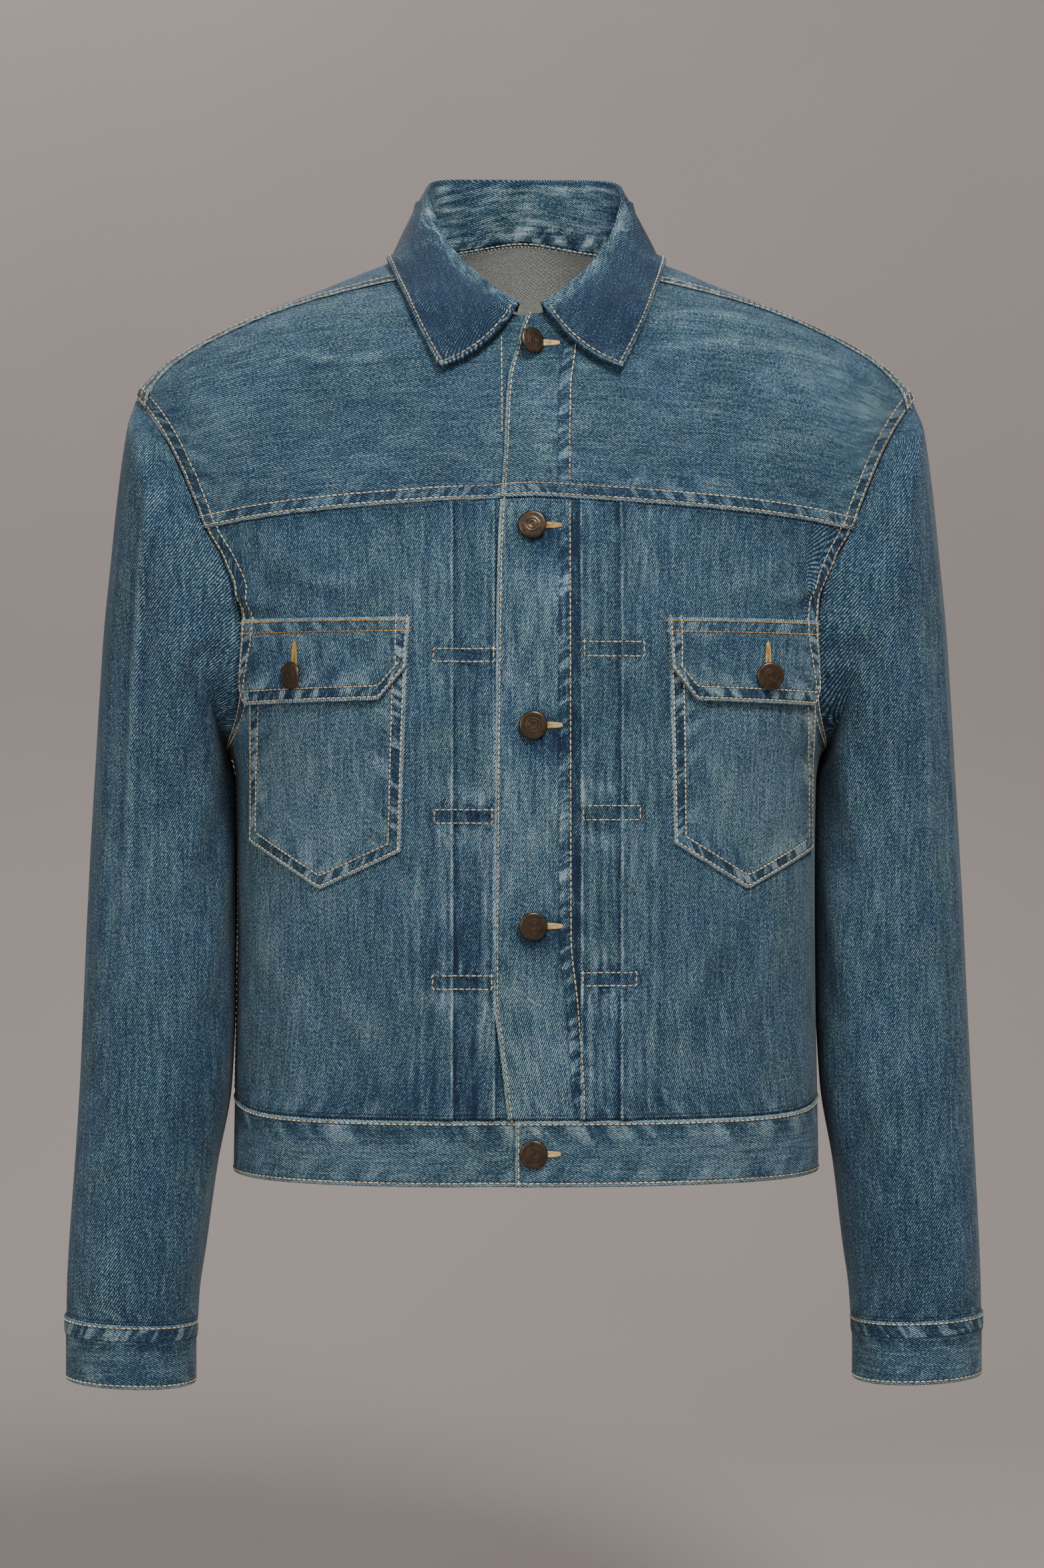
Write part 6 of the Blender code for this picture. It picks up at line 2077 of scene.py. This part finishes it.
class JACKET_OT_pockets(JacketOperator, bpy.types.Operator):
    """Build both breast pockets and their flaps"""

    bl_idname = "jacket.pockets"
    bl_label = "Pockets and flaps"

    def execute(self, context):
        for side, word in WORDS.items():
            self.build_pocket(side, word)
            self.build_flap(side, word)
        return {"FINISHED"}

    @staticmethod
    def lay(x, z, side, over, wall, seed):
        base = on_form(x, z, -1)
        cloth = Cloth(base, wall=wall, seed=seed)
        cloth.lift = cloth.lift + panel_relief(x, z, side) + over
        cloth.sunk = -(panel_relief(x, z, side) + over - wall)
        return cloth

    def build_pocket(self, side, word):
        rows = edged(0.0, 0.165) / 0.165
        inner_x, outer_x = POCKET_INNER_X[side], POCKET_OUTER_X[side]
        point_x, point_z = POCKET_POINT[side]
        width = outer_x - inner_x[0]
        columns = edged(0.0, width, inner=(point_x - inner_x[0],)) / width
        left = blend(*inner_x, rows)
        right = np.full(len(rows), outer_x)
        inner_z, outer_z = POCKET_CORNERS_Z[side]

        def low(x):
            return np.interp(x, (inner_x[1], point_x, outer_x), (inner_z, point_z, outer_z))

        x, z = patch_rows(left, right, low, lambda x: POCKET_TOP + 0 * x, rows, columns)
        cloth = self.lay(x, z, side, LAY_GAP + POCKET_WALL, POCKET_WALL, 35.0 + side)
        cloth.seam("bottom", fold=0.1, rope=0.3, width=0.0030)
        for edge in ("top", "left", "right"):
            cloth.seam(edge, rise=0.0003, fold=0.38, rope=1.5)
        cloth.grain = cloth.grain * [1.0, -1.0]
        obj = cloth_object(f"pocket_{word}_cloth", cloth, denim("Denim pockets", 0.02), side)
        runs = []
        for distance in STITCH_LINES:
            for edge in ("left", "right"):
                runs.append(cloth.line(edge, distance, end=distance, side=side))
            runs.append(cloth.line("top", distance, start=distance, end=distance, side=side))
        stitches = sew(f"pocket_{word}_stitches", runs, 0.0034, 0.0030)
        settle(obj, f"pocket_{word}", cloth)

    def build_flap(self, side, word):
        start_x, end_x = FLAP_TOP_INNER[side], float(armhole_x(FLAP_TOP)) - 0.0016
        stretch = (end_x - start_x) / 0.1085
        edge_x = [start_x + row[0] * stretch for row in FLAP_LOWER_EDGE]
        edge_z = [row[1] for row in FLAP_LOWER_EDGE]
        rows = edged(0.0, 0.055, cell=0.0026) / 0.055
        left = blend(start_x, edge_x[0], rows)
        right = blend(end_x, edge_x[-1], rows)
        width = end_x - start_x
        inner = tuple(x - edge_x[0] for x in edge_x[1:3])
        columns = edged(0.0, width, inner=inner) / width
        x, z = patch_rows(
            left, right, lambda x: np.interp(x, edge_x, edge_z), lambda x: FLAP_TOP + 0 * x, rows, columns
        )
        over = LAY_GAP * 2 + POCKET_WALL * 2
        cloth = self.lay(x, z, side, over, POCKET_WALL, 39.0 + side)
        bulge = FLAP_LIFT * ease((rows[:, None] - 0.15) / 0.6) + 0.0 * x
        cloth.lift = cloth.lift + bulge
        cloth.sunk = cloth.sunk - bulge
        cloth.seam("bottom", fold=0.30, rope=0.8)
        for edge in ("top", "left", "right"):
            cloth.seam(edge, rise=0.0004, fold=0.38, rope=1.6)
        cloth.grain = cloth.grain * [1.0, -1.0]
        middle = ease((rows[:, None] - 0.18) / 0.10) * ease((0.80 - rows[:, None]) / 0.25)
        cloth.tone = cloth.tone - 0.11 * middle * (0.8 + 0.6 * uneven_wave(x + 0.6 * z, 0.030, 3.0 + side))
        obj = cloth_object(f"flap_{word}_cloth", cloth, denim("Denim pockets", 0.02), side)
        runs, golden = [], []
        for distance in STITCH_LINES:
            for edge in ("left", "right"):
                runs.append(cloth.line(edge, distance, end=distance, side=side))
            runs.append(cloth.line("top", distance, start=distance, end=distance, side=side))
            golden.append(cloth.line("bottom", distance, side=side))
        stitches = sew(f"flap_{word}_stitches", runs, 0.0034, 0.0030)
        top = sew(f"flap_{word}_top_stitches", golden, 0.0032, 0.0029, thread="pocket")
        settle(obj, f"flap_{word}", cloth)


class JACKET_OT_buttons(JacketOperator, bpy.types.Operator):
    """Build the tack buttons"""

    bl_idname = "jacket.buttons"
    bl_label = "Buttons"

    def execute(self, context):
        for i, (height, turn) in enumerate(FRONT_BUTTONS):
            spot = on_form(np.array(0.0), np.array(height), -1)
            self.build(f"button_front_{i + 1}", spot, form_normal(spot), turn)
        spot = on_form(np.array(BAND_BUTTON[0]), np.array(BAND_BUTTON[1]), -1)
        self.build("button_waistband", spot, form_normal(spot), 0.0)
        for side, word in WORDS.items():
            x, z = np.array(FLAP_BUTTON[0]), np.array(FLAP_BUTTON[1])
            over = LAY_GAP * 2 + POCKET_WALL * 2 + FLAP_LIFT
            spot, normal = on_panel(x, z, side, over)
            self.build(f"button_flap_{word}", spot, normal, FLAP_BUTTON_TURNS[side])
            ring = cuff_ring(
                np.array([CUFF_BUTTON_ANGLE, CUFF_BUTTON_ANGLE + 1]), CUFF_BUTTON_DROP, *CUFF_RADIUS, side
            )
            out = unit(np.cross([0.0, 0.0, 1.0], ring[1] - ring[0]))
            out = out if out[1] > 0 else -out
            spot = ring[0] + out * CUFF_LAP_RISE
            self.build(f"button_cuff_{word}", turned(spot, side), turned(out, side), 0.0)
        return {"FINISHED"}

    @staticmethod
    def build(node, spot, normal, turn):
        angle = np.arange(BUTTON_SIDES) * 2 * math.pi / BUTTON_SIDES
        rings = [
            points(radius * np.cos(angle), radius * np.sin(angle), np.full(BUTTON_SIDES, height))
            for radius, height in BUTTON_PROFILE[1:-1]
        ]
        spots = np.concatenate([*rings, [[0, 0, BUTTON_PROFILE[0][1]], [0, 0, 0]]])
        out = Vector(normal)
        tilt = math.radians(turn)
        sway = Vector((-out.y, out.x, 0.0)).normalized()
        out = (out * math.cos(tilt) + sway * math.sin(tilt)).normalized()
        matrix = np.array(Vector((0, 0, 1)).rotation_difference(out).to_matrix())
        lean = BUTTON_LEAN * abs(math.sin(tilt))
        spots = spots @ matrix.T + np.array(spot) + np.array(normal) * (0.0002 + lean)
        count = len(rings)
        quads = grid_faces(count, BUTTON_SIDES, True)
        mesh = bpy.data.meshes.new(f"{node}_metal")
        top, foot = len(spots) - 2, len(spots) - 1
        faces = [tuple(face) for face in quads[:, ::-1].tolist()]
        for i in range(BUTTON_SIDES):
            k = (i + 1) % BUTTON_SIDES
            faces.append((top, i, k))
            last = (count - 1) * BUTTON_SIDES
            faces.append((foot, last + k, last + i))
        mesh.from_pydata(spots.tolist(), [], faces)
        mesh.shade_smooth()
        mesh.set_sharp_from_angle(angle=math.radians(50))
        mesh.materials.append(bronze_material())
        obj = add_object(f"{node}_metal", mesh)
        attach(obj, BODY)
        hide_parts(node)


class JACKET_OT_buttonholes(JacketOperator, bpy.types.Operator):
    """Sew the buttonholes"""

    bl_idname = "jacket.buttonholes"
    bl_label = "Buttonholes"

    def execute(self, context):
        runs = []
        for height, _ in FRONT_BUTTONS:
            runs.append(self.hole(0.0040, height, 0.0150, 0.0, 1, 0.0))
        for side in WORDS:
            over = LAY_GAP * 2 + POCKET_WALL * 2 + FLAP_LIFT * 0.7
            runs.append(self.hole(FLAP_BUTTON[0], FLAP_BUTTON[1] + 0.0005, 0.0, 0.0215, side, over))
        x, z = BAND_BUTTON
        runs.append(self.hole(x + 0.004, z, 0.0135, 0.0, 1, 0.0))
        sew("buttonholes", runs, 0.00050, 0.0024, 0.0009, across=True, thread="buttonhole")
        return {"FINISHED"}

    @staticmethod
    def hole(x, z, dx, dz, side, over):
        """A loop of close stitches round a slit; it starts under its button and tapers."""
        turn = np.linspace(0.0, 2 * math.pi, 60)
        length = math.hypot(dx, dz)
        share = (1 - np.cos(turn)) / 2
        aside = 0.0012 * np.sin(turn) * (1.15 - 0.55 * share)
        ux, uz = dx / length, dz / length
        line_x = x + ux * share * length - uz * aside
        line_z = z + uz * share * length + ux * aside
        base = on_form(line_x, line_z, -1)
        normal = form_normal(base)
        return turned(base + normal * (over + 0.0003), side), turned(normal, side)


class JACKET_OT_stage(JacketOperator, bpy.types.Operator):
    """Set the floor, backdrop, lights and camera"""

    bl_idname = "jacket.stage"
    bl_label = "Stage"

    def execute(self, context):
        look = context.scene.jacket_stage
        self.build_ground(look)
        for name, location, target_z, size, power in LIGHTS:
            self.add_light(name, location, (0.0, 0.0, target_z), size, getattr(look, power))
        world = bpy.data.worlds.new("Studio")
        world.use_nodes = True
        background = world.node_tree.nodes["Background"]
        background.inputs["Color"].default_value = (1.0, 0.985, 0.97, 1.0)
        background.inputs["Strength"].default_value = look.sky
        context.scene.world = world
        camera = bpy.data.objects.new("Camera", bpy.data.cameras.new("Camera"))
        camera.data.sensor_fit = "VERTICAL"
        camera.data.sensor_height = CAMERA_SENSOR
        camera.data.lens = CAMERA_LENS
        target = Vector((0.0, 0.0, CAMERA_HEIGHT))
        turn = math.radians(CAMERA_TURN)
        camera.location = target + Vector((math.sin(turn), -math.cos(turn), 0.0)) * CAMERA_DISTANCE
        camera.rotation_euler = (math.radians(90.0), 0.0, turn)
        camera.data.shift_x = CAMERA_SHIFT
        context.scene.collection.objects.link(camera)
        context.scene.camera = camera
        return {"FINISHED"}

    @staticmethod
    def build_ground(look):
        """A floor that sweeps up into a backdrop."""
        floor_z, wall_y, radius, reach, top = -1.02, 1.9, 0.8, 6.0, 4.0
        turn = np.linspace(0.0, math.pi / 2, 17)
        y = np.concatenate([[-reach], wall_y - radius + radius * np.sin(turn), [wall_y]])
        z = np.concatenate([[floor_z], floor_z + radius - radius * np.cos(turn), [top]])
        count = len(y)
        spots = np.concatenate([points(np.full(count, x), y, z) for x in (-reach, reach)])
        i = np.arange(count - 1)
        mesh = new_mesh("ground", spots, np.stack([i, i + count, i + count + 1, i + 1], axis=-1))
        material, tree, shader = new_material("Ground")
        place = tree.nodes.new("ShaderNodeTexCoord")
        cloud = scaled_noise(tree, place.outputs["Object"], (1.3, 1.3, 1.3), 3.0)
        pale = tuple(look.ground)
        dim = tuple(c * 0.93 for c in pale)
        link(tree, color_ramp(tree, cloud, [(0.3, dim), (0.7, pale)]), shader.inputs["Base Color"])
        shader.inputs["Roughness"].default_value = 0.95
        shader.inputs["Specular IOR Level"].default_value = 0.1
        # Seen from its back, the backdrop is clear
        facing = tree.nodes.new("ShaderNodeNewGeometry")
        clear = tree.nodes.new("ShaderNodeBsdfTransparent")
        either = tree.nodes.new("ShaderNodeMixShader")
        link(tree, facing.outputs["Backfacing"], either.inputs[0])
        link(tree, shader.outputs[0], either.inputs[1])
        link(tree, clear.outputs[0], either.inputs[2])
        output = next(node for node in tree.nodes if node.type == "OUTPUT_MATERIAL")
        link(tree, either.outputs[0], output.inputs["Surface"])
        mesh.materials.append(material)
        add_object("ground", mesh)

    @staticmethod
    def add_light(name, location, target, size, power):
        light = bpy.data.lights.new(name, "AREA")
        light.shape = "DISK"
        light.size = size
        light.energy = power
        obj = bpy.data.objects.new(name, light)
        obj.location = location
        way = Vector(target) - Vector(location)
        obj.rotation_euler = way.to_track_quat("-Z", "Y").to_euler()
        bpy.context.scene.collection.objects.link(obj)


class JACKET_PT_panel(bpy.types.Panel):
    """The jacket's pieces, in the order that they are built"""

    bl_idname = "JACKET_PT_panel"
    bl_label = "Denim Jacket"
    bl_space_type = "VIEW_3D"
    bl_region_type = "UI"
    bl_category = "Jacket"

    def draw(self, context):
        for operator in OPERATORS:
            self.layout.operator(operator.bl_idname)
        for name in SETTINGS:
            box = self.layout.box()
            for key in getattr(context.scene, name).__annotations__:
                box.prop(getattr(context.scene, name), key)


OPERATORS = (
    JACKET_OT_stage,
    JACKET_OT_fronts,
    JACKET_OT_front_yokes,
    JACKET_OT_back,
    JACKET_OT_sleeves,
    JACKET_OT_cuffs,
    JACKET_OT_waistband,
    JACKET_OT_collar,
    JACKET_OT_pockets,
    JACKET_OT_buttons,
    JACKET_OT_buttonholes,
)
SETTINGS = {
    "jacket_denim": JacketDenim,
    "jacket_thread": JacketThread,
    "jacket_buttons": JacketButtons,
    "jacket_stage": JacketStage,
}


def register():
    for name, settings in SETTINGS.items():
        bpy.utils.register_class(settings)
        setattr(bpy.types.Scene, name, PointerProperty(type=settings))
    for operator in OPERATORS:
        bpy.utils.register_class(operator)
    bpy.utils.register_class(JACKET_PT_panel)


def unregister():
    bpy.utils.unregister_class(JACKET_PT_panel)
    for operator in reversed(OPERATORS):
        bpy.utils.unregister_class(operator)
    for name, settings in SETTINGS.items():
        delattr(bpy.types.Scene, name)
        bpy.utils.unregister_class(settings)


def main():
    register()
    for operator in OPERATORS:
        area, name = operator.bl_idname.split(".")
        getattr(getattr(bpy.ops, area), name)()


if __name__ == "__main__":
    main()
